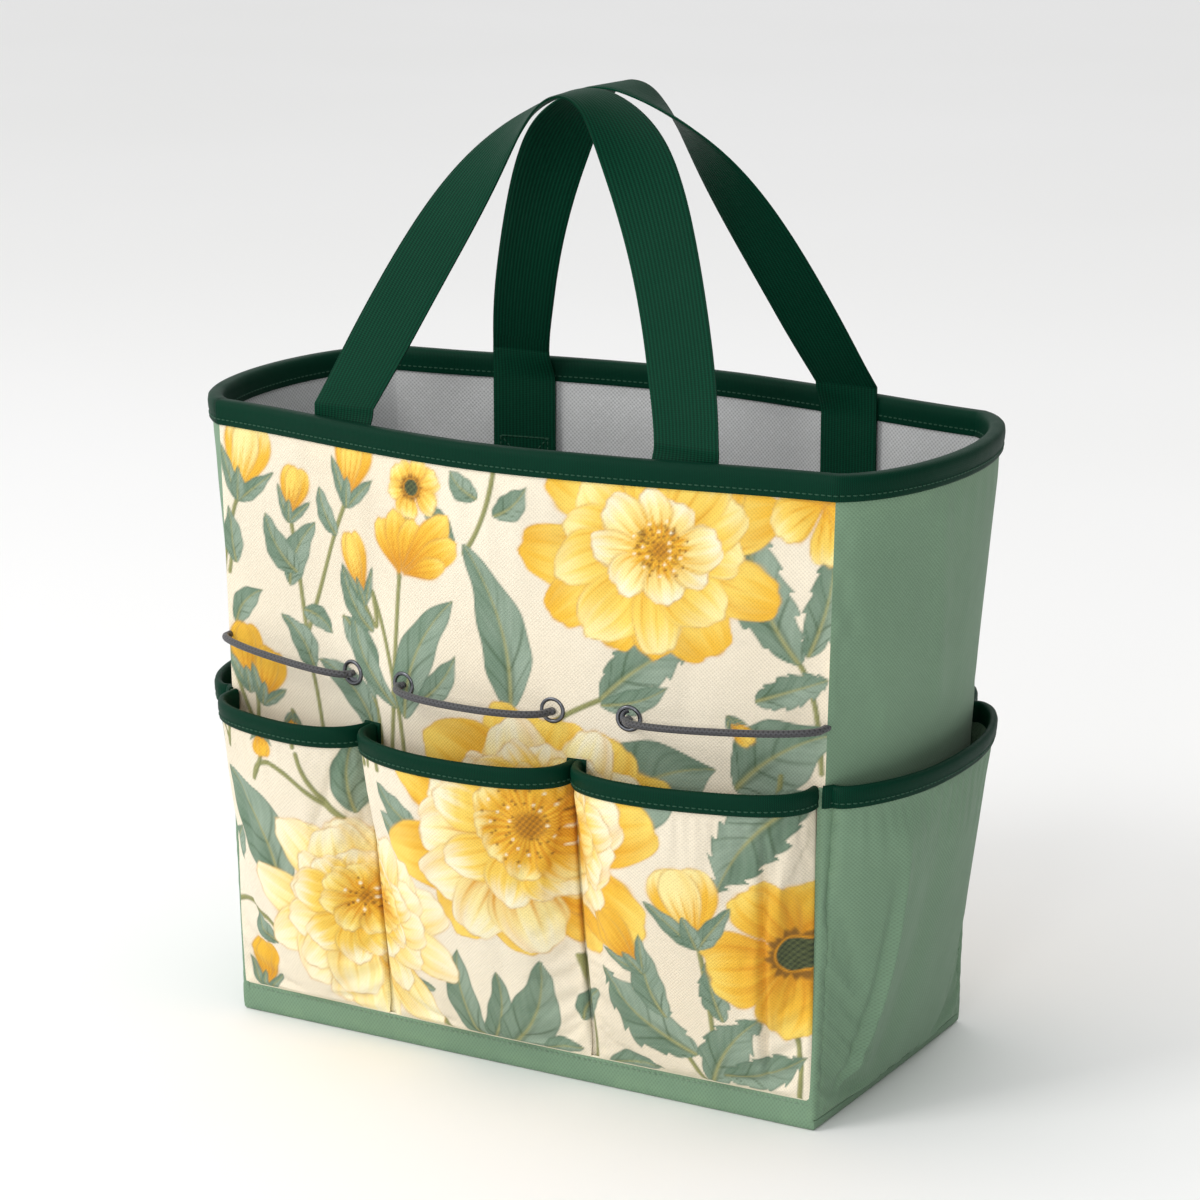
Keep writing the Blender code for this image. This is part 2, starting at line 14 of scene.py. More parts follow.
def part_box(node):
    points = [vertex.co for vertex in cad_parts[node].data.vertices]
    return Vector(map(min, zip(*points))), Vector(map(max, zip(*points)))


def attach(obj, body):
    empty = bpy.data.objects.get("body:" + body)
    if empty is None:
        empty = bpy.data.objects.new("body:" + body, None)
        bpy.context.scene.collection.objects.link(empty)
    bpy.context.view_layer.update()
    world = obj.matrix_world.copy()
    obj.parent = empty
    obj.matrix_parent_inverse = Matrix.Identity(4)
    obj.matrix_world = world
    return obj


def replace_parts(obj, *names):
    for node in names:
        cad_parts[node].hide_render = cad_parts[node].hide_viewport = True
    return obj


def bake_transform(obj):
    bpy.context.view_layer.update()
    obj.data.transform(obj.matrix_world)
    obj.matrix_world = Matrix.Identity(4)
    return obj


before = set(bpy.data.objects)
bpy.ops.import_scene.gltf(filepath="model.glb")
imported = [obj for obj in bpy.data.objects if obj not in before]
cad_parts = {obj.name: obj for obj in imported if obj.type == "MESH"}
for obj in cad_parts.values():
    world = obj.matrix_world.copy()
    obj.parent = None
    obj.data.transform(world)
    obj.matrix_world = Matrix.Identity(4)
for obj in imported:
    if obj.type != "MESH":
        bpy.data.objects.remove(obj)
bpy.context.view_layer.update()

MM = 0.001
TAU = 2 * math.pi

# Shape of the bag, the same as the CAD model's
HEIGHT = 360.0
BASE_HALF_LENGTH, BASE_HALF_DEPTH = 183.5, 91.5
TOP_HALF_LENGTH, TOP_HALF_DEPTH = 192.0, 91.7
FRONT_BULGE, SIDE_BULGE = 27.5, 35.0
WALL_FOOT, WALL_TOP = 1.8, 358.7
PADDING, LINING_AT, WALL = 4.5, 4.8, 5.6
FRONT_BAND, SIDE_BAND = 17.0, 6.0
POCKET_TOP = 194.0
POCKET_CLOTH_TOP, POCKET_GAP = 192.7, 0.6  # the cloth ends inside the mouth tape, and starts off the wall
POCKET_CLOTH, FRONT_MOUTH, SIDE_MOUTH = 1.4, 32.0, 14.0
POCKET_EDGES = (-185.0, -80.0, 52.0, 185.0)
SIDE_POCKET_EDGE, SEWN_MARGIN, CORNER_TURN = 87.5, 2.6, 3.2
STRAP_WIDTH, STRAP = 38.0, 2.0
LEG_OFFSET, GRIP_HEIGHT, GRIP_Y = 108.0, 536.5, 21.5
FOLD_HEIGHT, FOLD_LENGTH = 365.3, 21.0
TAIL_BOTTOM, TAIL_AT = 275.0, 7.7
EYELET_X = (-93.0, -56.0, 39.0, 82.0)
LONG_WALLS, WALLS = ("front", "back"), ("front", "back", "right", "left")
TURNED = ("back", "left")  # the walls that are the front and the right one turned half round
CORD_RADIUS, CORD_OUT, LOOP_HEIGHT = 2.0, 4.9, 225.0

CORD_BRAID = 0.00314, 0.0026  # metres round and along the cord for one turn of its braid


# ---------------------------------------------------------------- camera and light

def add_camera():
    right = Vector((0.8678, 0.4970, -0.0017))
    up = Vector((-0.1261, 0.2236, 0.9665))
    back = Vector((0.4807, -0.8384, 0.2568))
    data = bpy.data.cameras.new("camera")
    data.sensor_width = 36.0
    data.lens = 111.7
    data.clip_end = 120.0
    camera = bpy.data.objects.new("camera", data)
    bpy.context.scene.collection.objects.link(camera)
    turn = Matrix((right, up, back)).transposed().to_4x4()
    camera.matrix_world = Matrix.Translation((1.0053, -1.7524, 0.7848)) @ turn
    bpy.context.scene.camera = camera


def add_light(name, place, aim, size, power, colour=(1.0, 1.0, 1.0)):
    data = bpy.data.lights.new(name, "AREA")
    data.shape = "RECTANGLE"
    data.size, data.size_y = size
    data.energy = power
    data.color = colour
    light = bpy.data.objects.new(name, data)
    bpy.context.scene.collection.objects.link(light)
    light.location = place
    light.rotation_euler = (Vector(aim) - Vector(place)).to_track_quat("-Z", "Y").to_euler()


def add_studio():
    """Soft light all round, dimmer towards +X so the bag's right side falls into shade."""
    world = bpy.data.worlds.new("studio")
    bpy.context.scene.world = world
    world.use_nodes = True
    nodes, links = world.node_tree.nodes, world.node_tree.links
    place = nodes.new("ShaderNodeTexCoord")
    away = nodes.new("ShaderNodeVectorMath")
    away.operation = "DOT_PRODUCT"
    away.inputs[1].default_value = (-0.52, -0.14, 0.05)
    level = nodes.new("ShaderNodeMath")
    level.inputs[1].default_value = 0.80
    links.new(place.outputs["Generated"], away.inputs[0])
    links.new(away.outputs["Value"], level.inputs[0])
    links.new(level.outputs[0], nodes["Background"].inputs["Strength"])
    nodes["Background"].inputs["Color"].default_value = (1.0, 1.0, 1.0, 1.0)
    add_light("key", (-1.5, -2.2, 2.3), (0, 0, 0.2), (1.1, 1.1), 35.0, (1.0, 0.985, 0.96))
    add_light("graze", (0.75, -3.0, 0.9), (0.1, 0, 0.15), (0.5, 0.5), 15.0)
    add_light("top", (0.0, 0.6, 2.6), (0, 0, 0.2), (2.0, 2.0), 9.0)
    bpy.ops.mesh.primitive_plane_add(size=90.0)
    floor = bpy.context.object
    floor.name = "floor"
    floor.data.materials.append(floor_material())
    bpy.context.scene.view_settings.view_transform = "Standard"


# ---------------------------------------------------------------- node helpers

class Nodes:
    """Short names for building one material's node tree."""

    def __init__(self, name):
        self.material = bpy.data.materials.new(name)
        self.material.use_nodes = True
        self.tree = self.material.node_tree
        self.shader = self.tree.nodes["Principled BSDF"]

    def add(self, kind, **inputs):
        node = self.tree.nodes.new(kind)
        for key, value in inputs.items():
            self.put(node, key, value)
        return node

    def put(self, node, key, value):
        socket = node.inputs[int(key[1:])] if key[0] == "_" and key[1:].isdigit() else node.inputs[key]
        if isinstance(value, bpy.types.NodeSocket):
            self.tree.links.new(value, socket)
        else:
            socket.default_value = value

    def math(self, operation, first, second=0.0, third=None):
        node = self.add("ShaderNodeMath", _0=first, _1=second)
        if third is not None:
            self.put(node, "_2", third)
        node.operation = operation
        return node.outputs[0]

    def attribute(self, name, output="Vector"):
        node = self.add("ShaderNodeAttribute")
        node.attribute_name = name
        return node.outputs[output]

    def noise(self, vector, scale, detail=3.0, rough=0.55):
        node = self.add("ShaderNodeTexNoise", Vector=vector, Scale=scale, Detail=detail, Roughness=rough)
        return node.outputs["Fac"]

    def stretch(self, vector, scale):
        node = self.add("ShaderNodeMapping", Vector=vector, Scale=scale)
        return node.outputs["Vector"]

    def ramp(self, value, low, high, start=0.0, end=1.0):
        node = self.add("ShaderNodeMapRange")
        node.interpolation_type = "SMOOTHSTEP"
        sockets = {"Value": value, "From Min": low, "From Max": high, "To Min": start, "To Max": end}
        for key, given in sockets.items():
            self.put(node, key, given)
        return node.outputs["Result"]

    def mix(self, share, first, second, blend="MIX"):
        node = self.add("ShaderNodeMix")
        node.data_type = "RGBA"
        node.blend_type = blend
        for key, value in ((0, share), (6, first), (7, second)):
            if isinstance(value, bpy.types.NodeSocket):
                self.tree.links.new(value, node.inputs[key])
            else:
                node.inputs[key].default_value = value
        return node.outputs[2]

    def bump(self, height, distance, strength=1.0, under=None):
        node = self.add("ShaderNodeBump", Height=height, Distance=distance, Strength=strength)
        if under is not None:
            self.put(node, "Normal", under)
        return node.outputs["Normal"]


def linear(colour):
    """An 0-255 display colour as linear values."""
    c = np.asarray(colour, float) / 255.0
    return np.where(c <= 0.04045, c / 12.92, ((c + 0.055) / 1.055) ** 2.4)


def rgba(colour):
    return (*linear(colour), 1.0)


def low_and_high(colour, share):
    """A colour's darker version, that share as bright, and the colour itself, for a node's two sockets."""
    return (*(linear(colour) * share), 1.0), rgba(colour)


def wave(n, axis, pitch):
    """A sine along one axis of the cloth's own coordinates, with that wavelength in metres."""
    split = n.add("ShaderNodeSeparateXYZ", Vector=n.attribute("cloth"))
    return n.math("SINE", n.math("MULTIPLY", split.outputs[axis], TAU / pitch))


def weave(n, pitch):
    """Over-and-under threads that far apart in metres, from 0 to 1."""
    check = n.math("MULTIPLY", wave(n, 0, 2 * pitch), wave(n, 1, 2 * pitch))
    return n.math("MULTIPLY_ADD", check, 0.5, 0.5)


def finish_cloth(n, colour, height, depth, roughness, sheen, gloss=0.3):
    """Wear, bump, roughness and sheen that every cloth here shares, over its own colour, with painted shade
    between its threads, and its thread height.
    """
    place = n.attribute("cloth")
    slubs = n.noise(n.stretch(place, (90.0, 900.0, 1.0)), 1.0, 2.0)
    grain = n.noise(place, 700.0, 2.0)
    normal = n.bump(n.noise(place, 26.0, 3.0), 0.0011, 0.55)
    normal = n.bump(n.math("MULTIPLY_ADD", slubs, 0.35, grain), 0.00012, 0.5, normal)
    normal = n.bump(height, depth, 0.8, normal)
    n.put(n.shader, "Base Color", worn(n, colour))
    n.put(n.shader, "Normal", normal)
    n.put(n.shader, "Roughness", n.math("MULTIPLY_ADD", n.noise(place, 60.0), 0.16, roughness - 0.08))
    n.shader.inputs["Specular IOR Level"].default_value = gloss
    n.shader.inputs["Sheen Weight"].default_value = sheen
    n.shader.inputs["Sheen Roughness"].default_value = 0.45
    return n.material


def worn(n, colour):
    """Slow, slightly darker patches over the cloth, and rubbed, paler threads where the wear is high."""
    place = n.attribute("cloth")
    patchy = n.ramp(n.noise(place, 9.0, 4.0), 0.35, 0.7)
    colour = n.mix(n.math("MULTIPLY", patchy, 0.10), colour, (0.0, 0.0, 0.0, 1.0))
    wear = n.math("MULTIPLY", n.attribute("wear", "Fac"), n.ramp(n.noise(place, 45.0, 4.0), 0.38, 0.62))
    rubbed = n.mix(1.0, colour, (1.25, 1.22, 1.15, 1.0), "MULTIPLY")
    return n.mix(n.math("MULTIPLY", wear, 0.4), colour, rubbed)


def print_material():
    n = Nodes("printed_canvas")
    threads = weave(n, 0.00105)
    speckle = n.ramp(n.noise(n.attribute("cloth"), 520.0, 2.0), 0.3, 0.7, 0.955, 1.0)
    # Painted shade: the print is darkened where the weave is low, between the threads, and flecked at random
    # by the speckle.
    shade = n.math("MULTIPLY", n.ramp(threads, 0.0, 0.6, 0.86, 1.0), speckle)
    grey = n.add("ShaderNodeCombineColor", Red=shade, Green=shade, Blue=shade).outputs[0]
    colour = n.mix(1.0, n.attribute("print", "Color"), grey, "MULTIPLY")
    return finish_cloth(n, colour, threads, 0.00026, 0.82, 0.06)


def plain_material():
    n = Nodes("sage_canvas")
    threads = weave(n, 0.0011)
    # Painted shade: the sage is made darker where the weave is low, between the threads.
    shaded_weave_colour = n.mix(n.ramp(threads, 0.05, 0.7), *low_and_high((117, 147, 120), 0.80))
    return finish_cloth(n, shaded_weave_colour, threads, 0.00022, 0.72, 0.08)


def webbing_material():
    n = Nodes("webbing")
    ribs, picks = wave(n, 0, 0.0021), wave(n, 1, 0.0011)
    height = n.math("MULTIPLY_ADD", ribs, 0.5, n.math("MULTIPLY", picks, 0.35))
    # Painted shade: the green is darker in the grooves between the ribs and picks.
    shaded_weave_colour = n.mix(n.ramp(height, -0.7, 0.6), rgba((1, 38, 25)), rgba((4, 62, 42)))
    return finish_cloth(n, shaded_weave_colour, height, 0.00016, 0.55, 0.0, 0.06)


def tape_material():
    n = Nodes("binding_tape")
    ribs = n.math("MULTIPLY", wave(n, 1, 0.0009), 0.3)
    threads = n.math("MULTIPLY_ADD", weave(n, 0.0006), 0.5, ribs)
    # Painted shade: the tape is darker where its weave is low, between the threads.
    shaded_weave_colour = n.mix(n.ramp(threads, -0.1, 0.6), rgba((1, 36, 24)), rgba((3, 55, 38)))
    return finish_cloth(n, shaded_weave_colour, threads, 0.00010, 0.5, 0.0, 0.06)


def lining_material():
    n = Nodes("lining_cloth")
    threads = weave(n, 0.0012)
    square = weave(n, 0.0048)
    # Painted shade: darker where the weave is low, between the threads; the paler square grid over it is the
    # cloth's own ripstop pattern.
    shaded_weave_colour = n.mix(n.ramp(threads, 0.1, 0.7), rgba((176, 177, 178)), rgba((210, 211, 211)))
    shaded_weave_colour = n.mix(n.ramp(square, 0.85, 1.0, 0.0, 0.25), shaded_weave_colour, rgba((225, 226, 229)))
    return finish_cloth(n, shaded_weave_colour, threads, 0.00018, 0.7, 0.1)


def grain_material(name, colour, dark, scale, detail, roughness, depth, strength):
    """Sewing thread or board: one noise gives the colour's variation, roughness and bump."""
    n = Nodes(name)
    grain = n.noise(n.add("ShaderNodeTexCoord").outputs["Object"], scale, detail)
    n.put(n.shader, "Base Color", n.mix(grain, *low_and_high(colour, dark)))
    n.put(n.shader, "Roughness", n.math("MULTIPLY_ADD", grain, 0.2, roughness))
    n.put(n.shader, "Normal", n.bump(grain, depth, strength))
    return n.material


def thread_material(name, colour):
    return grain_material(name, colour, 0.7, 2600.0, 2.0, 0.5, 0.0001, 0.6)


def cord_material():
    n = Nodes("elastic_cord")
    split = n.add("ShaderNodeSeparateXYZ", Vector=n.attribute("cloth"))
    round_it = n.math("MULTIPLY", split.outputs[0], TAU / CORD_BRAID[0])
    along = n.math("MULTIPLY", split.outputs[1], TAU / CORD_BRAID[1])
    one = n.math("SINE", n.math("ADD", along, round_it))
    other = n.math("SINE", n.math("SUBTRACT", along, round_it))
    braid = n.math("MAXIMUM", one, other)
    # Painted shade: the cord is darker in the braid's grooves than on its crests.
    colour = n.mix(n.ramp(braid, -0.6, 0.9), rgba((26, 26, 28)), rgba((66, 66, 70)))
    n.put(n.shader, "Base Color", colour)
    n.put(n.shader, "Normal", n.bump(braid, 0.00014, 0.7))
    n.put(n.shader, "Roughness", n.math("MULTIPLY_ADD", n.noise(n.attribute("cloth"), 300.0), 0.2, 0.5))
    n.shader.inputs["Sheen Weight"].default_value = 0.2
    return n.material


def metal_material():
    n = Nodes("gunmetal")
    place = n.add("ShaderNodeTexCoord").outputs["Object"]
    smudge = n.noise(place, 260.0, 4.0)
    colour = n.mix(smudge, rgba((78, 80, 84)), rgba((122, 124, 130)))
    n.put(n.shader, "Base Color", colour)
    n.put(n.shader, "Roughness", n.math("MULTIPLY_ADD", smudge, 0.2, 0.22))
    n.put(n.shader, "Normal", n.bump(n.noise(place, 1500.0, 2.0), 0.00004, 0.5))
    n.shader.inputs["Metallic"].default_value = 1.0
    return n.material


def floor_material():
    n = Nodes("floor")
    place = n.add("ShaderNodeTexCoord").outputs["Object"]
    tone = n.ramp(n.noise(place, 0.7, 2.0), 0.3, 0.7)
    n.put(n.shader, "Base Color", n.mix(tone, (0.89, 0.89, 0.885, 1.0), (0.91, 0.91, 0.91, 1.0)))
    n.shader.inputs["Roughness"].default_value = 0.9
    return n.material


# ---------------------------------------------------------------- mesh helpers

STEP = 4  # a shell's hidden inner grid, and a pocket's trial, are this many times coarser than its outer one
STITCH_PITCH, STITCH_LENGTH, THREAD_RADIUS = 3.4, 2.5, 0.42
# Along a stitch: place as a share of its length, then thickness and height as shares of the thread's radius
STITCH_SHAPE = (
    (-0.5, 0.25, -0.7), (-0.36, 0.8, -0.05), (0.0, 1.0, 0.25), (0.36, 0.8, -0.05), (0.5, 0.25, -0.7),
)


def unit(vectors):
    return vectors / np.maximum(np.linalg.norm(vectors, axis=-1, keepdims=True), 1e-12)


def raised(line, z):
    """Points in plan, or directions, given a height: one for all or one each."""
    return np.column_stack([line, np.broadcast_to(z, len(line))])


def quads(index):
    corners = index[:-1, :-1], index[:-1, 1:], index[1:, 1:], index[1:, :-1]
    return np.stack(corners, -1).reshape(-1, 4).tolist()


def make_mesh(name, points, faces, finish, body="bag", cloth=None, wear=None, colour=None, sharp=50.0):
    """One closed, smooth-shaded object from points in millimetres; its finish is a material and a slot name,
    and only the material is put on it.
    """
    mesh = bpy.data.meshes.new(name)
    points = np.asarray(points, float)
    mesh.from_pydata((points * MM).tolist(), [], faces)
    grown = bmesh.new()
    grown.from_mesh(mesh)
    if grown.calc_volume(signed=True) < 0:
        bmesh.ops.reverse_faces(grown, faces=grown.faces)
    grown.to_mesh(mesh)
    grown.free()
    mesh.polygons.foreach_set("use_smooth", np.ones(len(mesh.polygons), bool))
    mesh.set_sharp_from_angle(angle=math.radians(sharp))
    cloth = points if cloth is None else cloth
    add_values(mesh, "cloth", "FLOAT_VECTOR", "vector", np.asarray(cloth) * MM)
    add_values(mesh, "wear", "FLOAT", "value", np.zeros(len(points)) if wear is None else wear)
    if colour is not None:
        solid = np.column_stack([colour, np.ones(len(points))])
        add_values(mesh, "print", "FLOAT_COLOR", "color", solid)
    mesh.materials.append(finish[0])
    made = bpy.data.objects.new(name, mesh)
    bpy.context.scene.collection.objects.link(made)
    if body:
        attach(made, body)
    return made


def add_values(mesh, name, kind, field, values):
    layer = mesh.attributes.new(name, kind, "POINT")
    layer.data.foreach_set(field, np.asarray(values, np.float32).ravel())


def shell_faces(rows, columns):
    """Faces of a fine outer grid joined round its edge to an inner grid STEP times coarser."""
    index = np.arange(rows * columns).reshape(rows, columns)
    low = (rows - 1) // STEP + 1, (columns - 1) // STEP + 1
    inner = index.size + np.arange(low[0] * low[1]).reshape(low)
    faces = quads(index) + quads(inner.T)
    for fine, coarse, turn in (
        (index[0], inner[0], -1), (index[-1], inner[-1], 1),
        (index[:, 0], inner[:, 0], 1), (index[:, -1], inner[:, -1], -1),
    ):
        for k in range(len(coarse) - 1):
            edge = fine[k * STEP:(k + 1) * STEP + 1].tolist()
            faces.append((edge + [int(coarse[k + 1]), int(coarse[k])])[::turn])
    return faces


def make_shell(name, outer, inner, finish, cloth, wear=None, colour=None):
    """A closed piece of cloth or padding between an outer and an inner grid of points."""
    def both(first, second=None):
        if first is None:
            return None
        second = first if second is None else second
        tail = first.shape[2:]
        return np.concatenate([first.reshape(-1, *tail), second[::STEP, ::STEP].reshape(-1, *tail)])

    return make_mesh(
        name, both(outer, inner), shell_faces(*outer.shape[:2]), finish,
        cloth=both(cloth), wear=both(wear), colour=both(colour),
    )


def sweep_faces(count, size, looped):
    index = np.arange(count * size).reshape(count, size)
    after = np.roll(index, -1, axis=0) if looped else index[1:]
    first = index if looped else index[:-1]
    faces = np.stack([first, np.roll(first, -1, 1), np.roll(after, -1, 1), after], -1)
    faces = faces.reshape(-1, 4).tolist()
    if not looped:
        faces.append(index[0][::-1].tolist())
        faces.append(index[-1].tolist())
    return faces


def make_sweep(name, rings, finish, body="bag", looped=False, wear=None, sharp=50.0):
    """A skin along rings of points; its cloth coordinates run round and along it."""
    rings = np.asarray(rings, float)
    gap = np.linalg.norm(rings - np.roll(rings, 1, axis=1), axis=-1)
    gap[:, 0] = 0
    cloth = np.zeros(rings.shape)
    cloth[..., 0] = np.cumsum(gap.mean(0))[None, :]
    cloth[..., 1] = arc_length(rings.mean(1))[:, None]
    return make_mesh(
        name, rings.reshape(-1, 3), sweep_faces(*rings.shape[:2], looped), finish, body,
        cloth=cloth.reshape(-1, 3), wear=None if wear is None else wear.ravel(), sharp=sharp,
    )


def arc_length(line):
    steps = np.linalg.norm(np.diff(line, axis=0), axis=1)
    return np.concatenate([[0], np.cumsum(steps)])


def found_at(at, reach, values):
    """Values along a line, one row for each of its distances in reach, read off at other distances."""
    return np.column_stack([np.interp(at, reach, column) for column in values.T])


def resample(line, count):
    reach = arc_length(line)
    return found_at(np.linspace(0, reach[-1], count), reach, line)


def make_stitches(name, path, out, finish):
    """A run of lockstitches along a path: small threads that dip into the cloth at both ends."""
    reach = arc_length(path)
    count = int(reach[-1] / STITCH_PITCH)
    at = (np.arange(count) + 0.5) * reach[-1] / count
    ahead = unit(np.gradient(path, axis=0))
    centre, run, lift = (found_at(at, reach, grid) for grid in (path, ahead, out))
    run, lift = unit(run), unit(lift)
    side = np.cross(run, lift)
    rings = []
    for place, thick, height in STITCH_SHAPE:
        ring = []
        for a in np.linspace(0, TAU, 6, endpoint=False):
            spoke = math.cos(a) * side + math.sin(a) * lift
            thread = (lift * height + spoke * thick) * THREAD_RADIUS
            ring.append(centre + run * place * STITCH_LENGTH + thread)
        rings.append(ring)
    grid = np.transpose(np.array(rings), (2, 0, 1, 3))
    *sides, first, last = sweep_faces(*grid.shape[1:3], False)
    shift = (np.arange(count) * grid[0].size // 3)[:, None, None]
    skins, caps = np.array(sides) + shift, np.array([first, last]) + shift
    faces = skins.reshape(-1, 4).tolist() + caps.reshape(-1, 6).tolist()
    return make_mesh(name, grid.reshape(-1, 3), faces, finish)


def hill(x, width):
    return np.exp(-(x / width) ** 2)


# ---------------------------------------------------------------- shape of the walls

def corner(z):
    t = z / HEIGHT
    along = BASE_HALF_LENGTH + (TOP_HALF_LENGTH - BASE_HALF_LENGTH) * t
    across = BASE_HALF_DEPTH + (TOP_HALF_DEPTH - BASE_HALF_DEPTH) * t
    return along, across


def front_at(x, z):
    """Points in plan and outward normals on the front wall's outside, for arrays x and z."""
    along, across = corner(z)
    s = np.clip(x / along, -1, 1)
    bulge = FRONT_BULGE * np.sin(np.clip(z / 230, 0, 1) * math.pi / 2) ** 1.1
    y = -(across + bulge * (0.45 * (1 - s * s) + 0.275 * (1 + np.cos(np.pi * s))))
    slope = bulge / along * (-0.9 * s - 0.275 * np.pi * np.sin(np.pi * s))
    normal = unit(np.stack([-slope, -np.ones_like(slope)], -1))
    return np.stack([x + 0 * y, y], -1), normal


def side_by_share(t, z):
    """The right wall, t from 0 at the front seam to 1 at the back one."""
    along, across = corner(z)
    share = np.clip(z / HEIGHT, 0, 1)
    reach = SIDE_BULGE * share ** 0.75 / 0.75
    inset = 61.0 - 35.0 * share
    u = 1 - t
    near, far = 3 * u * u * t, 3 * u * t * t
    x = along + reach * (near + far)
    y = -across * (u ** 3 + near - far - t ** 3) + inset * (near - far)
    run_x = reach * (3 * u * u - 3 * t * t)
    run_y = 3 * u * u * inset + 6 * u * t * (2 * across - 2 * inset) + 3 * t * t * inset
    normal = unit(np.stack([run_y, -run_x], -1))
    return np.stack([x, y], -1), normal


def side_at(y, z):
    """The right wall at distances y back, for one height z."""
    t = np.linspace(0, 1, 400)
    line, _ = side_by_share(t, z)
    return side_by_share(np.interp(y, line[:, 1], t), z)


def wall_line(wall, z, columns):
    """Points and normals of the front wall, or the right one, at columns from -1 to 1."""
    if wall in LONG_WALLS:
        return front_at(corner(z)[0] * columns, z)
    return side_by_share((columns + 1) / 2, z)


def wall_grid(wall, rows, columns, depth=0.0):
    """A grid of points over one wall, depth inside its outer face, mitred at its seams."""
    grid = []
    for z in rows:
        line, normal = wall_line(wall, z, columns)
        if wall in LONG_WALLS:
            other = side_by_share(0.0, z)[1]
        else:
            other = front_at(np.array(corner(z)[0]), z)[1]
        moved = line - depth * normal
        for end, meets in ((0, -1), (-1, 1)):
            neighbour = other.copy()
            if wall in LONG_WALLS and meets < 0:
                neighbour[0] *= -1
            if wall not in LONG_WALLS and meets > 0:
                neighbour[1] *= -1
            mitre = (normal[end] + neighbour) / (1 + normal[end] @ neighbour)
            shift = -depth * (mitre - normal[end])
            moved = moved + shift * np.clip(meets * columns, 0, 1)[:, None] ** 3
        grid.append(raised(-moved if wall in TURNED else moved, z))
    return np.array(grid)


def wall_normals(wall, rows, columns):
    turn = -1 if wall in TURNED else 1
    return np.array([raised(turn * wall_line(wall, z, columns)[1], 0.0) for z in rows])


def cloth_grid(grid):
    """Cloth coordinates of a grid of points: distance along its middle row, and height."""
    middle = arc_length(grid[len(grid) // 2])
    cloth = np.zeros(grid.shape)
    cloth[..., 0] = middle[None, :] - middle[-1] / 2
    cloth[..., 1] = arc_length(grid[:, grid.shape[1] // 2])[:, None]
    return cloth


def smooth_step(x, low, high):
    t = np.clip((x - low) / (high - low), 0, 1)
    return t * t * (3 - 2 * t)


def shifted(grid, normals, amount):
    return grid + normals * np.asarray(amount)[..., None]


# ---------------------------------------------------------------- cloth simulation

SETTLE_FRAMES = 22


def settle(points, held, slack, push, cap):
    """Moves that a grid of cloth makes as it comes to rest between its sewn edges, none over cap."""
    rows, columns = points.shape[:2]
    index = np.arange(rows * columns).reshape(rows, columns)
    mesh = bpy.data.meshes.new("cloth_trial")
    mesh.from_pydata((points.reshape(-1, 3) * MM).tolist(), [], quads(index))
    trial = bpy.data.objects.new("cloth_trial", mesh)
    bpy.context.scene.collection.objects.link(trial)
    group = trial.vertex_groups.new(name="sewn")
    group.add(index[held].tolist(), 1.0, "REPLACE")
    modifier = trial.modifiers.new("cloth", "CLOTH")
    modifier.point_cache.frame_end = SETTLE_FRAMES
    cloth = modifier.settings
    cloth.quality = 6
    cloth.mass = 0.12
    cloth.tension_stiffness = cloth.compression_stiffness = 18.0
    cloth.shear_stiffness = 6.0
    cloth.bending_stiffness = 0.6
    cloth.vertex_group_mass = "sewn"
    cloth.shrink_min = -slack
    cloth.use_pressure = True
    cloth.uniform_pressure_force = push
    modifier.collision_settings.use_collision = False
    for moment in range(1, SETTLE_FRAMES + 1):
        bpy.context.scene.frame_set(moment)
    shown = trial.evaluated_get(bpy.context.evaluated_depsgraph_get())
    found = np.zeros(rows * columns * 3, np.float32)
    shown.data.vertices.foreach_get("co", found)
    moves = found.reshape(rows, columns, 3) / MM - points
    bpy.context.scene.frame_set(1)
    bpy.data.objects.remove(trial, do_unlink=True)
    far = np.linalg.norm(moves, axis=-1, keepdims=True)
    return moves * np.minimum(1, cap / np.maximum(far, 1e-9))


def spread(moves, rows, columns):
    """A coarse grid of moves brought to a finer grid, without creases between its points."""
    for axis, count in ((0, rows), (1, columns)):
        size = moves.shape[axis]
        at = np.linspace(0, size - 1, count)
        low = np.clip(at.astype(int), 0, size - 2)
        shape = [1, 1, 1]
        shape[axis] = count
        t = (at - low).reshape(shape)
        a, b, c, d = (np.take(moves, np.clip(low + k, 0, size - 1), axis=axis) for k in (-1, 0, 1, 2))
        moves = b + 0.5 * t * (c - a + t * (2 * a - 5 * b + 4 * c - d + t * (3 * (b - c) + d - a)))
    return moves


# ---------------------------------------------------------------- the printed flowers

IVORY, PALE, BUTTER = (247, 238, 204), (249, 231, 158), (246, 212, 100)
GOLD, AMBER, UMBER, TAN = (238, 186, 58), (216, 148, 34), (138, 96, 34), (198, 152, 78)
SAGE, DEEP_SAGE, FERN = (150, 168, 150), (102, 128, 106), (66, 88, 60)
OLIVE, MOSS, PINE = (158, 157, 104), (112, 120, 74), (78, 104, 84)
CREAM, LIGHT_CREAM = (231, 219, 196), (238, 228, 207)
DARK_EYE, EYE = (46, 56, 42), (96, 104, 66)


def over(colour, shade, amount):
    """Linear colours with that amount of one 0-255 shade, or of other linear colours, laid over them."""
    shade = linear(shade) if np.ndim(shade) == 1 else shade
    return colour * (1 - amount[:, None]) + shade * amount[:, None]


def tint(low, high, share):
    return over(linear(low), high, np.clip(share, 0, 1))


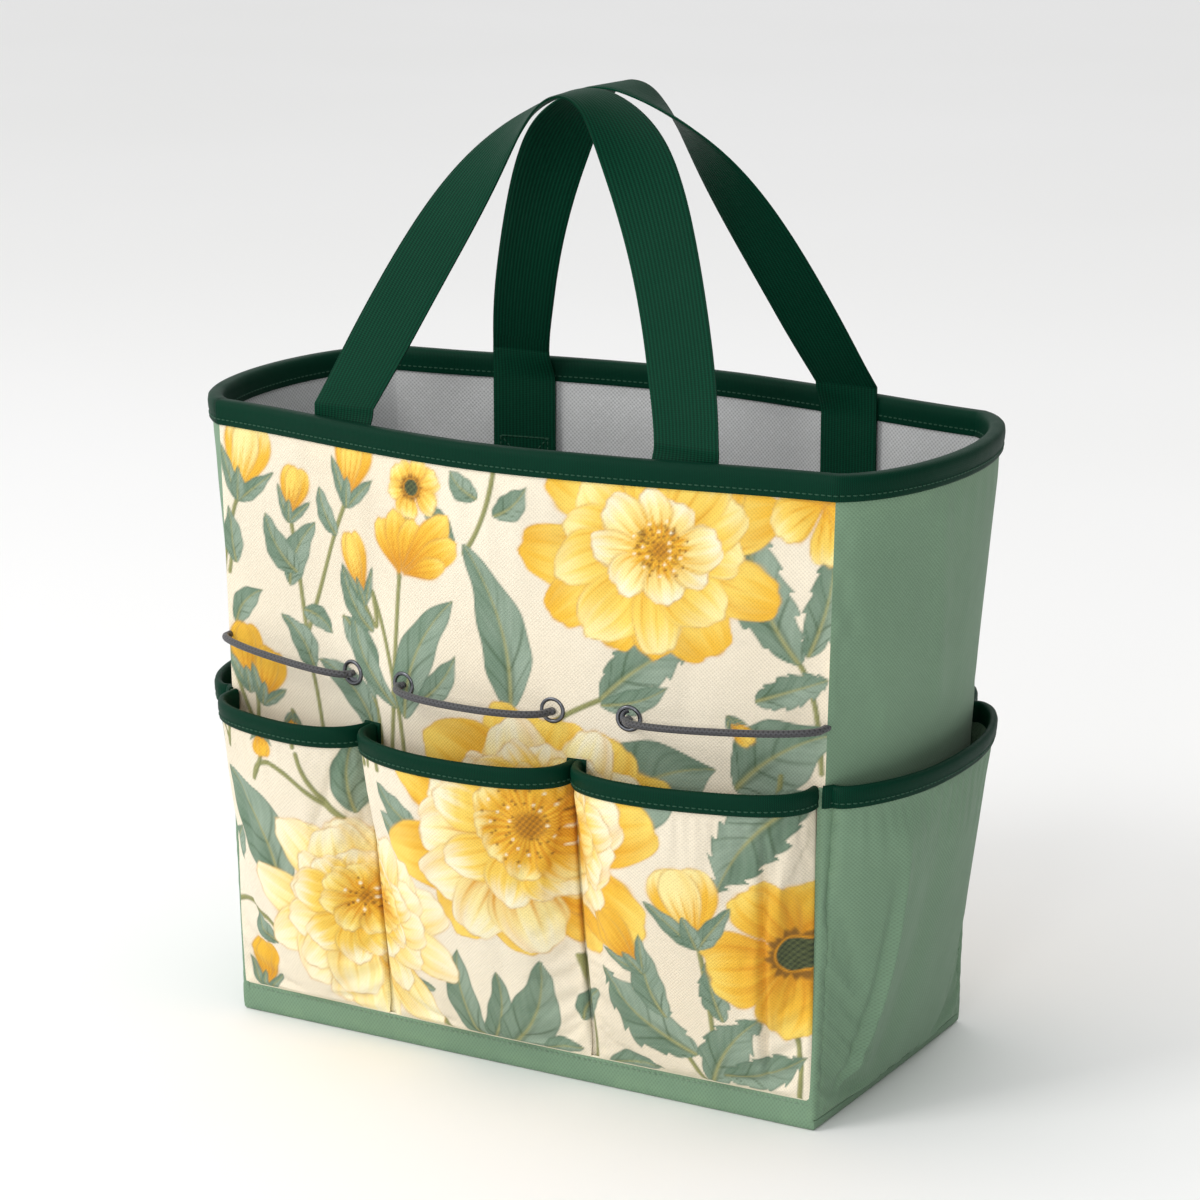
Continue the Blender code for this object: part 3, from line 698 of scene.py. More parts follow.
class Print:
    """Colours at points of the printed cloth, painted one motif over another."""

    def __init__(self, x, z, slide):
        self.x, self.z = x.ravel() + slide, z.ravel()
        wash = 0.5 + 0.5 * np.sin(self.x / 31 + 1.3) * np.sin(self.z / 43)
        self.colour = tint(CREAM, LIGHT_CREAM, wash)

    def near(self, place, reach):
        return np.flatnonzero((abs(self.x - place[0]) < reach) & (abs(self.z - place[1]) < reach))

    def lay(self, at, inside, colour, soft=0.9):
        """Paint where inside, the distance in from a motif's edge, is above 0; soft is the edge's width."""
        self.colour[at] = over(self.colour[at], colour, np.clip(inside / soft + 0.5, 0, 1))

    def blade(self, base, tip, width, shape, bend):
        """Points near a long motif: indices, share along, offset sideways, that as a share, depth inside."""
        base, run = np.array(base, float), np.array(tip, float) - base
        length = np.linalg.norm(run)
        at = self.near(base + run / 2, length * 0.55 + width * 0.7 + abs(bend) * length)
        dx, dz = self.x[at] - base[0], self.z[at] - base[1]
        along = (dx * run[0] + dz * run[1]) / length ** 2
        s = np.clip(along, 0, 1)
        side = (dz * run[0] - dx * run[1]) / length - bend * length * 4 * s * (1 - s)
        half = width / 2 * shape(s)
        inside = np.minimum.reduce([half - abs(side), along * length, (1 - along) * length])
        return at, s, side, side / np.maximum(half, 0.5), inside

    def petal(self, base, tip, width, inner=GOLD, outer=PALE, edge=IVORY, bend=0.0, ruffle=0.04):
        """Deep colour in streaks at the foot, pale and ruffled at the lip, with a fine darker outline."""
        at, s, side, share, inside = self.blade(
            base, tip, width, lambda s: (np.sin(np.pi * s ** 1.8) + 0.015) ** 0.55, bend
        )
        lobes = np.sin(side * 9.0 / width + s * 5 + width) + 0.6 * np.sin(side * 21.0 / width - s * 9)
        inside = inside - ruffle * width * (1.2 + lobes) * smooth_step(s, 0.4, 0.95)
        self.lay(at, 0.24 * smooth_step(inside, -2.0, 0.4) - 0.5, AMBER, 1.0)
        brush = np.sin(share * 11 + s * 2 + width) * 0.5 + np.sin(share * 23 - s * 3) * 0.3
        brush = brush + 0.2 * np.sin(share * 41 + width)
        deep = 1 - smooth_step(s + 0.16 * brush, 0.16, 0.72)
        lip = smooth_step(s + 0.10 * brush, 0.62, 0.95)
        colour = tint(outer, inner, deep)
        colour = over(colour, edge, lip)
        fold = hill(share + 0.55, 0.28) * 0.3 + 0.45 * smooth_step(0.30 - s, 0.0, 0.3)
        colour = over(colour, tint(inner, AMBER, deep), fold)
        streak = smooth_step(-brush, 0.35, 0.8) * (1 - smooth_step(s, 0.35, 0.85)) * 0.55
        colour = over(colour, AMBER, streak)
        rim = hill(inside - 0.25, 0.75) * (0.45 + 0.25 * np.sin(s * 7 + side / 3))
        self.lay(at, inside, over(colour, TAN, rim))

    def leaf(self, base, tip, width, bend=0.0, teeth=0, light=SAGE, dark=DEEP_SAGE):
        """Grey-green halves, one darker, brushed along the side ribs, with an olive spine."""
        at, s, side, share, inside = self.blade(
            base, tip, width, lambda s: (np.sin(np.pi * s ** 0.78) + 0.01) ** 0.85, bend
        )
        wavy = 0.05 * width * np.sin(s * 13 + width) * np.sin(s * 5 + 0.5)
        inside = inside + wavy * smooth_step(s, 0.1, 0.3)
        if teeth:
            inside = inside - width * 0.10 * ((s * teeth) % 1.0) * smooth_step(s, 0.05, 0.2)
        flow = s * 7 - abs(share) * 1.9 + 0.25 * np.sin(s * 9 + width)
        brush = 0.5 + 0.5 * np.sin(TAU * flow) * np.cos(flow * 2.7 + width)
        wash = 0.5 + 0.5 * np.sin(self.x[at] / 6.1 + 0.9) * np.sin(self.z[at] / 7.3)
        colour = tint(light, dark, 0.3 * wash + 0.5 * smooth_step(side, -0.8, 0.8) + 0.22 * brush)
        dark_stroke = smooth_step(brush, 0.72, 0.98) * smooth_step(inside, 0.6, 2.6) * (1 - s) * 0.8
        near_spine = hill(abs(share) - 0.16, 0.10) * (0.5 + 0.5 * np.sin(s * 6 + 1)) * 0.55
        colour = over(over(colour, FERN, dark_stroke), FERN, near_spine)
        spine = hill(side, 0.35 + 0.03 * width * (1 - s)) * (1 - 0.35 * s) * 0.95
        colour = over(colour, OLIVE, spine)
        rim = hill(inside - 0.2, 0.7) * 0.55
        self.lay(at, inside, over(colour, PINE, rim))

    def stem(self, points, width=3.0):
        """A stem along a curve through three points, darker down one side."""
        a, b, c = (np.array(p, float) for p in points)
        t = np.linspace(0, 1, 160)[:, None]
        line = (1 - t) ** 2 * a + 2 * t * (1 - t) * (2 * b - (a + c) / 2) + t ** 2 * c
        at = self.near(line.mean(0), np.abs(line - line.mean(0)).max() + width)
        if not at.size:
            return
        dx = self.x[at][:, None] - line[:, 0]
        gap = np.hypot(dx, self.z[at][:, None] - line[:, 1])
        nearest = gap.argmin(1)
        inside = width / 2 - gap[np.arange(at.size), nearest]
        lit = smooth_step(dx[np.arange(at.size), nearest], -width / 2, width / 2)
        self.lay(at, inside, tint(OLIVE, MOSS, lit * 0.8 + 0.4 * smooth_step(0.5 - inside, 0, 0.5)))

    def flower(
        self, centre, radius, count, spin=0.0, wide=1.25, inner=GOLD, outer=PALE, edge=IVORY, flat=1.0,
    ):
        """One ring of petals round a centre, no two alike; flat squeezes it in height."""
        for k in range(count):
            a = spin + TAU * k / count + 0.13 * math.sin(7.3 * k + spin * 9)
            long = radius * (1 + 0.12 * math.sin(5.1 * k + spin * 5))
            tip = (centre[0] + long * math.cos(a), centre[1] + flat * long * math.sin(a))
            width = wide * TAU * radius / count * (0.62 + 0.10 * math.sin(3.7 * k + spin))
            self.petal(centre, tip, width, inner, outer, edge, bend=0.08 * math.sin(4.1 * k + spin))

    def around(self, centre, reach):
        """Points near a centre: indices, offsets from it, distance and direction."""
        at = self.near(centre, reach)
        dx, dz = self.x[at] - centre[0], self.z[at] - centre[1]
        return at, dx, dz, np.hypot(dx, dz), np.arctan2(dz, dx)

    def heart(self, centre, radius, rays=46):
        """Stamens: fine rays out of the centre, with small dark and pale dots at their ends."""
        at, dx, dz, r, a = self.around(centre, radius * 1.3)
        ray = 0.5 + 0.5 * np.sin(a * rays / 2 + 2.0 * np.sin(a * 3))
        long = radius * (0.72 + 0.28 * np.sin(a * 7 + 1) * np.sin(a * 11))
        self.lay(at, (long - r) * (0.35 + 0.65 * ray), tint(GOLD, AMBER, ray), 3.0)
        mottle = 0.5 + 0.5 * np.sin(dx * 1.9 + 1) * np.sin(dz * 1.7)
        self.lay(at, radius * 0.30 - r, tint(AMBER, UMBER, mottle), 4.0)
        for k in range(rays):
            way = TAU * k / rays * 1.618 * 3
            out = radius * (0.30 + 0.65 * ((k * 0.618) % 1.0))
            dot = np.hypot(dx - out * math.cos(way), dz - out * math.sin(way))
            self.lay(at, 0.75 - dot, UMBER if k % 3 else IVORY)

    def eye(self, centre, radius):
        """A dark green eye in a ring of umber specks, as in an open single flower."""
        at, _, _, r, a = self.around(centre, radius * 2.4)
        ring = radius * (1.45 + 0.25 * np.sin(a * 13) * np.sin(a * 5 + 1))
        self.lay(at, ring - r, UMBER, 2.5)
        self.lay(at, radius * 1.12 - r, AMBER, 1.0)
        mottle = 0.5 + 0.5 * np.sin(self.x[at] * 1.7) * np.sin(self.z[at] * 1.9)
        self.lay(at, radius - r, tint(DARK_EYE, EYE, mottle), 1.0)

    def bud(self, base, tip, width, inner=AMBER, outer=BUTTER, sepals=0.55):
        """A closed flower: overlapping petals held in green sepals."""
        base, tip = np.array(base, float), np.array(tip, float)
        run = tip - base
        side = np.array([-run[1], run[0]]) / np.linalg.norm(run) * width
        for way, share in ((0.24, 0.72), (-0.24, 0.72), (0.06, 0.62)):
            face = GOLD if abs(way) > 0.1 else outer
            self.petal(base, tip + side * way, width * share, inner, face, outer, ruffle=0.01)
        if sepals:
            for k, way in enumerate((0.62, -0.62, 0.1)):
                end = base + run * (sepals - 0.1 * k) + side * way
                self.leaf(base - run * 0.08, end, width * 0.3)


def paint_upper(p):
    """The flowers above the pockets."""
    for points in (
        ((-57, 281), (-61, 244), (-67, 178)), ((-79, 269), (-66, 232), (-58, 178)),
        ((-99, 251), (-80, 214), (-74, 176)), ((-49, 320), (-56, 300), (-57, 281)),
        ((-84, 262), (-76, 250), (-78, 268)), ((-171, 200), (-168, 186), (-171, 170)),
        ((66, 229), (40, 214), (20, 196)), ((174, 258), (182, 236), (186, 200)),
        ((10, 262), (16, 240), (14, 216)), ((-14, 300), (-2, 322), (4, 346)),
        ((-171, 176), (-192, 240), (-178, 306)), ((-118, 180), (-128, 240), (-139, 302)),
        ((-127, 236), (-112, 280), (-97, 316)), ((-187, 262), (-184, 276), (-182, 290)),
    ):
        p.stem(points)
    for leaf in (
        ((-57, 200), (-21, 273), 25, 0.10), ((-46, 212), (-20, 243), 15, -0.08),
        ((14, 216), (-14, 304), 30, -0.10), ((-99, 252), (-78, 208), 18, 0.12),
        ((-78, 186), (-121, 224), 20, -0.15), ((66, 229), (124, 268), 30, 0.06, 7),
        ((66, 226), (104, 240), 14, -0.08), ((174, 258), (146, 342), 34, 0.10, 7),
        ((178, 262), (192, 330), 22, -0.06, 6), ((150, 236), (192, 252), 20, 0.0, 6),
        ((-181, 268), (-186, 300), 16, 0.0), ((-62, 205), (-92, 262), 14, 0.12),
        ((-6, 330), (-24, 344), 14, 0.1), ((4, 322), (24, 340), 15, -0.1),
        ((-40, 322), (-20, 300), 12, 0.1), ((139, 186), (193, 222), 42, 0.08),
        ((120, 330), (138, 292), 20, 0.1, 6), ((-140, 262), (-122, 300), 18, 0.1),
        ((-130, 250), (-108, 240), 13, 0.1), ((-134, 270), (-158, 300), 18, 0.1),
        ((-184, 232), (-160, 256), 15, 0.12), ((-122, 216), (-146, 244), 17, -0.12),
        ((-104, 296), (-118, 322), 13, 0.1), ((-78, 246), (-100, 282), 13, 0.1),
    ):
        p.leaf(*leaf)
    p.flower((94, 314), 68, 11, 0.25, 1.5, AMBER, BUTTER, GOLD)
    p.flower((95, 314), 56, 10, 2.3, 1.5, GOLD, BUTTER, PALE)
    p.flower((97, 313), 34, 8, 0.9, 1.4, GOLD, PALE)
    p.eye((98, 314), 8.0)
    p.heart((99, 313), 17)
    p.flower((-49, 331), 18, 6, 0.3, 1.25, AMBER, BUTTER, PALE)
    p.eye((-49, 331), 4.6)
    for base, tip, width in (
        ((-58, 284), (-72, 312), 17), ((-57, 283), (-60, 318), 18), ((-55, 284), (-46, 314), 17),
        ((-55, 286), (-24, 318), 18), ((-54, 284), (-18, 304), 17), ((-54, 283), (-26, 292), 13),
    ):
        p.petal(base, tip, width, AMBER, GOLD, BUTTER)
    p.bud((-96, 316), (-88, 357), 26)
    p.bud((-84, 263), (-94, 300), 17)
    p.bud((-177, 308), (-168, 352), 34, GOLD, PALE)
    p.bud((-174, 196), (-176, 234), 26, AMBER, GOLD)
    p.bud((-164, 190), (-154, 222), 24, AMBER, GOLD)
    p.flower((186, 344), 30, 7, 0.2, 1.4, GOLD, BUTTER, PALE)
    p.bud((-140, 300), (-134, 330), 20)
    p.bud((136, 226), (148, 212), 10)


def paint_lower(p):
    """The flowers of the pockets."""
    for points in (
        ((-149, 156), (-132, 166), (-91, 138)), ((-116, 176), (-108, 158), (-92, 140)),
        ((129, 15), (131, 60), (128, 112)), ((88, 88), (100, 60), (122, 20)),
        ((-68, 39), (-50, 30), (-30, 10)), ((152, 160), (160, 176), (164, 196)),
        ((-187, 66), (-172, 72), (-152, 62)), ((-84, 30), (-76, 60), (-80, 96)),
        ((52, 12), (54, 40), (50, 80)), ((176, 60), (178, 36), (176, 14)),
        ((-142, 188), (-140, 178), (-148, 158)),
    ):
        p.stem(points)
    for leaf in (
        ((-141, 80), (-178, 158), 40, -0.14), ((-86, 142), (-84, 190), 17, 0.08),
        ((-24, 136), (-62, 152), 24, 0.1), ((-30, 150), (-60, 170), 18, 0.1),
        ((62, 150), (131, 196), 52, 0.16), ((182, 188), (140, 134), 34, -0.08, 7),
        ((120, 36), (64, 84), 34, 0.10, 6), ((104, 56), (97, 100), 20, 0.12),
        ((126, 18), (160, 66), 30, 0.08, 5), ((134, 26), (184, 44), 22, -0.08, 5),
        ((138, 60), (133, 98), 17, 0.06, 5), ((-17, 14), (-20, 78), 20, 0.1),
        ((-14, 14), (2, 66), 18, -0.1), ((-4, 14), (30, 76), 30, -0.12),
        ((60, 14), (98, 22), 14, 0.1), ((-150, 52), (-166, 70), 13, 0.2),
        ((-64, 36), (-42, 46), 12, 0.15), ((20, 16), (46, 22), 12, 0.1),
        ((-176, 96), (-168, 122), 14, 0.1), ((48, 40), (60, 62), 12, 0.1),
    ):
        p.leaf(*leaf)
    p.flower((30, 150), 80, 10, 0.15, 1.45, AMBER, GOLD, BUTTER, 0.98)
    p.flower((28, 150), 66, 10, 0.5, 1.5, AMBER, PALE, IVORY, 0.98)
    p.flower((34, 156), 50, 9, 0.1, 1.5, GOLD, BUTTER, IVORY)
    p.flower((36, 158), 33, 8, 0.6, 1.5, AMBER, GOLD, PALE)
    p.heart((36, 160), 27, 60)
    p.flower((-90, 78), 66, 12, 0.2, 1.55, GOLD, PALE, IVORY, 1.04)
    p.flower((-88, 82), 52, 11, 0.55, 1.6, GOLD, PALE, IVORY, 1.04)
    p.flower((-90, 86), 39, 9, 0.2, 1.6, GOLD, BUTTER, IVORY)
    p.flower((-86, 88), 25, 8, 0.9, 1.6, AMBER, BUTTER, PALE)
    p.heart((-86, 90), 14, 34)
    p.flower((180, 102), 47, 5, 0.85, 1.12, AMBER, GOLD, BUTTER)
    p.eye((179, 102), 9.5)
    p.bud((127, 106), (121, 150), 38, GOLD, PALE)
    p.bud((92, 84), (70, 116), 24, AMBER, GOLD)
    p.bud((-142, 186), (-141, 170), 13, AMBER, GOLD)
    p.bud((-167, 16), (-164, 50), 20, AMBER, GOLD)


BACK_START, PRINT_REPEAT = 150.0, 384.0  # where the back begins in the print, and the print's width


def print_colours(grid, wall):
    """The print at each point of a grid on the front or back, the back's run on from the front's."""
    turn, start, slides = (1, 0.0, (0.0,)) if wall == "front" else (-1, BACK_START, (0.0, PRINT_REPEAT))
    p = Print(turn * grid[..., 0], grid[..., 2], start)
    for slide in slides:
        p.x -= slide
        paint_upper(p)
        paint_lower(p)
        p.x += slide
    return p.colour.reshape(*grid.shape[:2], 3)


# ---------------------------------------------------------------- padded walls

def wall_moves(wall, rows, columns):
    """A padded wall's slack: it swells between its sewn edges and wrinkles a little."""
    coarse_columns = np.linspace(-1, 1, 41 if wall in LONG_WALLS else 29)
    coarse = wall_grid(wall, np.linspace(rows[0], rows[-1], 33), coarse_columns)
    held = np.zeros(coarse.shape[:2], bool)
    held[0], held[-2:], held[:, 0], held[:, -1] = True, True, True, True
    steps = 240
    fine = spread(settle(coarse, held, 0.004, 0.35, 1.6), steps + 1, len(columns))
    index = (rows - rows[0]) / (rows[-1] - rows[0]) * steps
    low = np.clip(index.astype(int), 0, steps - 1)
    t = (index - low)[:, None, None]
    return fine[low] * (1 - t) + fine[low + 1] * t


def wall_ripple(wall, grid):
    """Long, low folds left in the cloth by filling and carrying the bag."""
    x = grid[..., 0] if wall in LONG_WALLS else grid[..., 1]
    z = grid[..., 2]
    if wall in TURNED:
        x = -x
    upper = smooth_step(z, 205, 240) * (1 - smooth_step(z, 325, 345))
    if wall in LONG_WALLS:
        pull = sum(hill(x - side * LEG_OFFSET + (z - 340) * 0.1 * side, 11) for side in (-1, 1))
        ripple = 0.7 * np.sin(x / 27 + z / 90) * np.sin(z / 41 + 0.6) - 0.9 * pull * smooth_step(z, 262, 330)
        return ripple * upper
    soft = 0.9 * np.sin(x / 31 + 0.8) * np.sin(z / 52 + 0.3) + 1.6 * hill(x + 18 + (z - 270) * 0.16, 9)
    return soft * upper + 0.4 * np.sin(x / 19) * upper


def build_walls(cloth):
    """The padded walls; the printed ones have most rows above the pockets, where the print shows."""
    behind_pockets, top = 176.0, 357.4
    for wall in WALLS:
        printed = wall in LONG_WALLS
        count, fine, rough = {"front": (385, 193, 48), "back": (273, 129, 40)}.get(wall, (117, 145, 0))
        low = np.linspace(WALL_FOOT, behind_pockets, rough, endpoint=False)
        rows = np.concatenate([low, np.linspace(behind_pockets if printed else WALL_FOOT, top, fine)])
        columns = np.linspace(-1, 1, count)
        outer, inner = wall_grid(wall, rows, columns), wall_grid(wall, rows, columns, PADDING)
        moves = wall_moves(wall, rows, columns) * smooth_step(rows, 196, 230)[:, None, None]
        edge = smooth_step(1 - abs(columns), 0.0, 0.06)[None, :]
        moved = shifted(outer, wall_normals(wall, rows, columns), wall_ripple(wall, outer) * edge) + moves
        wear = hill(1 - abs(columns), 0.02)[None, :] + 0.6 * hill(rows - 344, 9)[:, None]
        made = make_shell(
            f"{wall}_panel_cloth", moved, inner, cloth["print" if printed else "sage"], cloth_grid(outer),
            wear=np.clip(wear, 0, 1), colour=print_colours(outer, wall) if printed else None,
        )
        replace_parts(made, f"{wall}_panel", f"{wall}_foam")


def build_linings(cloth):
    """The inner cloth of each wall and of the bottom, loosely puffed over its padding."""
    foot, top = 6.6, 357.2
    for wall in WALLS:
        rows, columns = np.linspace(foot, top, 121), np.linspace(-1, 1, 129)
        face, behind = wall_grid(wall, rows, columns, WALL), wall_grid(wall, rows, columns, LINING_AT)
        x = np.arange(len(columns))[None, :] / 10.0
        z = rows[:, None]
        fade = smooth_step(1 - abs(columns), 0.0, 0.1)[None, :]
        fade = fade * smooth_step(z, 6, 40) * (1 - smooth_step(z, 325, 345))
        puff = 0.8 * np.sin(x * 1.3 + z / 60) * np.sin(z / 37) + 0.9 * hill((x - 5 - z / 120) / 1.1, 1) - 0.2
        face = shifted(face, -wall_normals(wall, rows, columns), np.clip(puff * fade, -0.1, 2.0))
        made = make_shell(f"{wall}_lining_cloth", face, behind, cloth["lining"], cloth_grid(face))
        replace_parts(made, f"{wall}_lining")
    low, high = (np.array(point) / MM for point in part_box("base_lining"))
    x, y = np.meshgrid(np.linspace(low[0], high[0], 129), np.linspace(low[1], high[1], 65))
    edge = smooth_step(abs(high[0]) - abs(x), 0, 20) * smooth_step(abs(high[1]) - abs(y), 0, 20)
    puff = 0.9 * edge * (0.5 + 0.5 * np.sin(x / 23 + 0.5) * np.sin(y / 29))
    face = np.stack([x, y, high[2] + puff], -1)
    under = np.stack([x, y, np.full(x.shape, low[2])], -1)
    made = make_shell("base_lining_cloth", face, under, cloth["lining"], face)
    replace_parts(made, "base_lining")


# ---------------------------------------------------------------- rim and base

FRONT_COUNT, SIDE_COUNT = 150, 64  # points round the bag along each long and each short side


def around_bag(z, front_count=FRONT_COUNT, side_count=SIDE_COUNT):
    """The bag's outside in plan at one height, with smoothed outward normals."""
    along = corner(z)[0]
    half = front_at(np.linspace(-along, along, front_count, endpoint=False), z)[0]
    end = side_by_share(np.linspace(0, 1, side_count, endpoint=False), z)[0]
    line = np.vstack([half, end, -half, -end])
    run = unit(np.roll(line, -1, 0) - np.roll(line, 1, 0))
    normal = np.column_stack([run[:, 1], -run[:, 0]])
    for _ in range(2):
        normal = unit(np.roll(normal, 1, 0) + 2 * normal + np.roll(normal, -1, 0))
    return line, normal


def build_rim(cloth):
    """Folded tape over the top edge: rounded, a little puffed between its rows of stitches."""
    profile = (
        (346.0, -1.3), (347.2, -2.0), (349.4, -1.55), (352.5, -2.1), (356.0, -2.1), (358.6, -1.6),
        (359.6, -0.6), (360.0, 1.2), (360.0, 4.2), (359.6, 6.0), (358.6, 6.9), (356.0, 7.5),
        (352.5, 7.5), (349.4, 7.0), (347.2, 7.4), (346.0, 6.8), (346.2, 5.95), (352.0, 5.95),
        (358.0, 5.95), (358.9, 4.6), (358.9, 1.0), (358.0, -0.32), (352.0, -0.32), (346.2, -0.32),
    )
    rings = []
    for z, depth in profile:
        line, normal = around_bag(min(z, WALL_TOP))
        travel = arc_length(np.vstack([line, line[:1]]))[:-1]
        uneven = 0.22 * np.sin(travel / 23) * np.sin(travel / 61 + 1)
        uneven = uneven * (1 if 1 < depth < 5 or z < 349 else 0.6) * (1 if depth > 0 and z > 359 else 0.5)
        rings.append(raised(line - depth * normal, z + uneven))
    rings = np.swapaxes(np.array(rings), 0, 1)
    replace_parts(make_sweep("rim_tape", rings, cloth["tape"], looped=True, sharp=70), "rim_binding")
    seam = 349.3
    line, normal = around_bag(seam, 260, 110)
    line, normal = np.vstack([line, line[:1]]), np.vstack([normal, normal[:1]])
    for name, depth, way in (("outside", -1.75, 1), ("inside", 7.15, -1)):
        path, out = raised(line - depth * normal, seam), raised(normal * way, 0.0)
        make_stitches(f"rim_stitches_{name}", path, out, cloth["tape_thread"])


def build_base(cloth):
    """The bottom cloth, turned up in a tall band on the front and back and a low one at the sides."""
    base, normal = around_bag(2.0)
    count = len(base)
    tall = np.where(np.arange(count) % (count // 2) < FRONT_COUNT, FRONT_BAND, SIDE_BAND)
    rings = []
    for share, depth, lift in (
        (0.0, 2.2, 0.0), (0.0, 0.6, 0.0), (0.0, -0.7, 0.35), (0.0, -1.6, 1.4), (0.25, -1.9, 0.8),
        (0.6, -2.0, 0.3), (0.86, -1.9, 0.0), (0.97, -1.6, 0.0), (1.0, -1.1, 0.0), (0.99, -0.5, 0.0),
        (0.5, -0.5, 0.0), (0.0, -0.5, 1.5),
    ):
        z = tall * share + lift
        line = np.array([around_bag(level)[0][k] for k, level in enumerate(z)]) if share else base
        rings.append(raised(line - depth * normal, z))
    wear = np.zeros((len(rings), count))
    wear[2:5] = 1.0
    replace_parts(make_sweep("base_band", rings, cloth["sage"], wear=wear, sharp=60), "base_wrap")
    for wall, turn in (("front", 1), ("back", -1)):
        reach = BASE_HALF_LENGTH - 0.5
        line, normal = front_at(np.linspace(-reach, reach, 260), FRONT_BAND)
        path, outward = raised(turn * (line + 1.2 * normal), FRONT_BAND + 0.35), raised(turn * normal, 0.0)
        rings = [
            path + 0.62 * (math.cos(a) * outward + math.sin(a) * np.array([0, 0, 1.0]))
            for a in np.linspace(0, TAU, 8, endpoint=False)
        ]
        make_sweep(f"{wall}_base_edge", np.swapaxes(rings, 0, 1), cloth["cream_thread"])
        seam = path - [0, 0, 2.6] + outward * 0.75
        make_stitches(f"{wall}_base_stitches", seam, outward, cloth["sage_thread"])


# ---------------------------------------------------------------- pockets

def half_turn(power):
    """From -1 to 1 in steps that bunch at the ends, and how far out a mouth bows at each."""
    a = np.linspace(0, math.pi, 241)
    return -np.sign(np.cos(a)) * abs(np.cos(a)) ** power, np.clip(np.sin(a), 0, 1)


def pocket_line(left, right, z, foot, out, count):
    """A front pocket's cross-section in plan, out millimetres outside its inner face."""
    share = max((z - foot) / (POCKET_TOP - foot), 0.0) ** 0.85
    across, bow = half_turn(0.75)
    line, normal = front_at((left + right) / 2 + ((right - left) / 2 - SEWN_MARGIN) * across, z)
    return pushed(line + normal * (POCKET_GAP + FRONT_MOUTH * share * bow ** 0.8)[:, None], out, count)


def side_pocket_line(z, foot, out, count):
    """A side pocket's cross-section in plan; its ends turn the corners to meet the front and back pockets."""
    share = max((z - foot) / (POCKET_TOP - foot), 0.0) ** 0.85
    width, bow = half_turn(0.85)
    line, normal = side_at(SIDE_POCKET_EDGE * width, z)
    middle = line + normal * (POCKET_GAP + SIDE_MOUTH * share * bow ** 0.7)[:, None]
    along, across = corner(z)
    turned, out_of_front = front_at(np.linspace(along - CORNER_TURN, along - 0.6, 5), z)
    flank, out_of_side = side_at(np.linspace(-across + 0.6, -SIDE_POCKET_EDGE - 1.0, 4), z)
    tip = [[along + 0.3, -across - 0.3]]
    start = np.vstack([turned + POCKET_GAP * out_of_front, tip, flank + POCKET_GAP * out_of_side])
    return pushed(np.vstack([start, middle, start[::-1] * [1, -1]]), out, count)


def pushed(line, out, count):
    line = resample(line, count)
    run = unit(np.gradient(line, axis=0))
    normal = np.column_stack([run[:, 1], -run[:, 0]])
    return line + out * normal, normal


def pocket_folds(name, u, v):
    """Folds of a pocket's slack, u from -1 to 1 across and v from 0 at the foot to 1 at the mouth."""
    fade = smooth_step(v, 0.02, 0.16) * (1 - smooth_step(v, 0.8, 0.93)) * (1 - abs(u) ** 6)
    if "side" in name:
        behind = u + 0.50 + 0.29 * (1 - v) ** 3
        away = np.sqrt(behind ** 2 + 0.0002) - 0.0141
        crease = 7.5 * np.exp(-away / np.where(behind < 0, 0.34, 0.15)) - 2.4 * hill(behind - 0.36, 0.14)
        sharp = 2.6 * hill(behind - 0.01, 0.024) - 2.2 * hill(behind + 0.05, 0.03)
        sharp = sharp * (1 - smooth_step(v, 0.45, 0.85))
        return (crease + sharp + 0.8 * np.sin(u * 4 + v * 3) * v) * fade
    if "right" in name:
        fold = -3.4 * hill(u - 0.62 + 0.04 * v, 0.028) + 1.3 * hill(u - 0.54, 0.07)
    elif "middle" in name:
        fold = 1.2 * hill(u + 0.42 - 0.2 * v, 0.10) - 1.0 * hill(u - 0.25 - 0.2 * v, 0.09)
    else:
        fold = 1.2 * hill(u - 0.30 - 0.1 * v, 0.09) - 1.2 * hill(u + 0.45, 0.08)
    return (fold + 0.9 * np.sin(u * 5.5 + 2.0 * v) * (1 - v)) * fade


def build_pocket(name, line_at, foot, turn, cloth, size):
    """A pocket's cloth, settled by simulation, with its folds, mouth tape and stitches."""
    rows, columns = size
    levels = np.linspace(foot, POCKET_CLOTH_TOP, rows)
    found = [line_at(z, POCKET_CLOTH, columns) for z in levels]
    outer = np.array([raised(line, z) for (line, _), z in zip(found, levels)])
    normals = np.array([raised(normal, 0.0) for _, normal in found])
    coarse = outer[::STEP, ::STEP]
    held = np.zeros(coarse.shape[:2], bool)
    held[0], held[-4:], held[:, :2], held[:, -2:] = True, True, True, True
    moves = spread(settle(coarse, held, 0.012, 0.5, 3.0), rows, columns)
    u, v = np.meshgrid(np.linspace(-1, 1, columns), np.linspace(0, 1, rows))
    folds = shifted(moves, normals, pocket_folds(name, u, v))
    cloth_at = cloth_grid(outer)
    wear = np.clip(hill(v, 0.03) + 0.6 * hill(abs(u) - 0.93, 0.05), 0, 1)
    outer, normals, folds = (grid * [turn, turn, 1] for grid in (outer, normals, folds))
    finish, colour = cloth["sage"], None
    if "side" not in name:
        finish, colour = cloth["print"], print_colours(outer, "front" if turn > 0 else "back")
    inner = outer - normals * POCKET_CLOTH
    made = make_shell(name + "_cloth", outer + folds, inner + folds, finish, cloth_at, wear, colour)
    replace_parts(made, name)
    build_pocket_tape(name, line_at, turn, cloth)


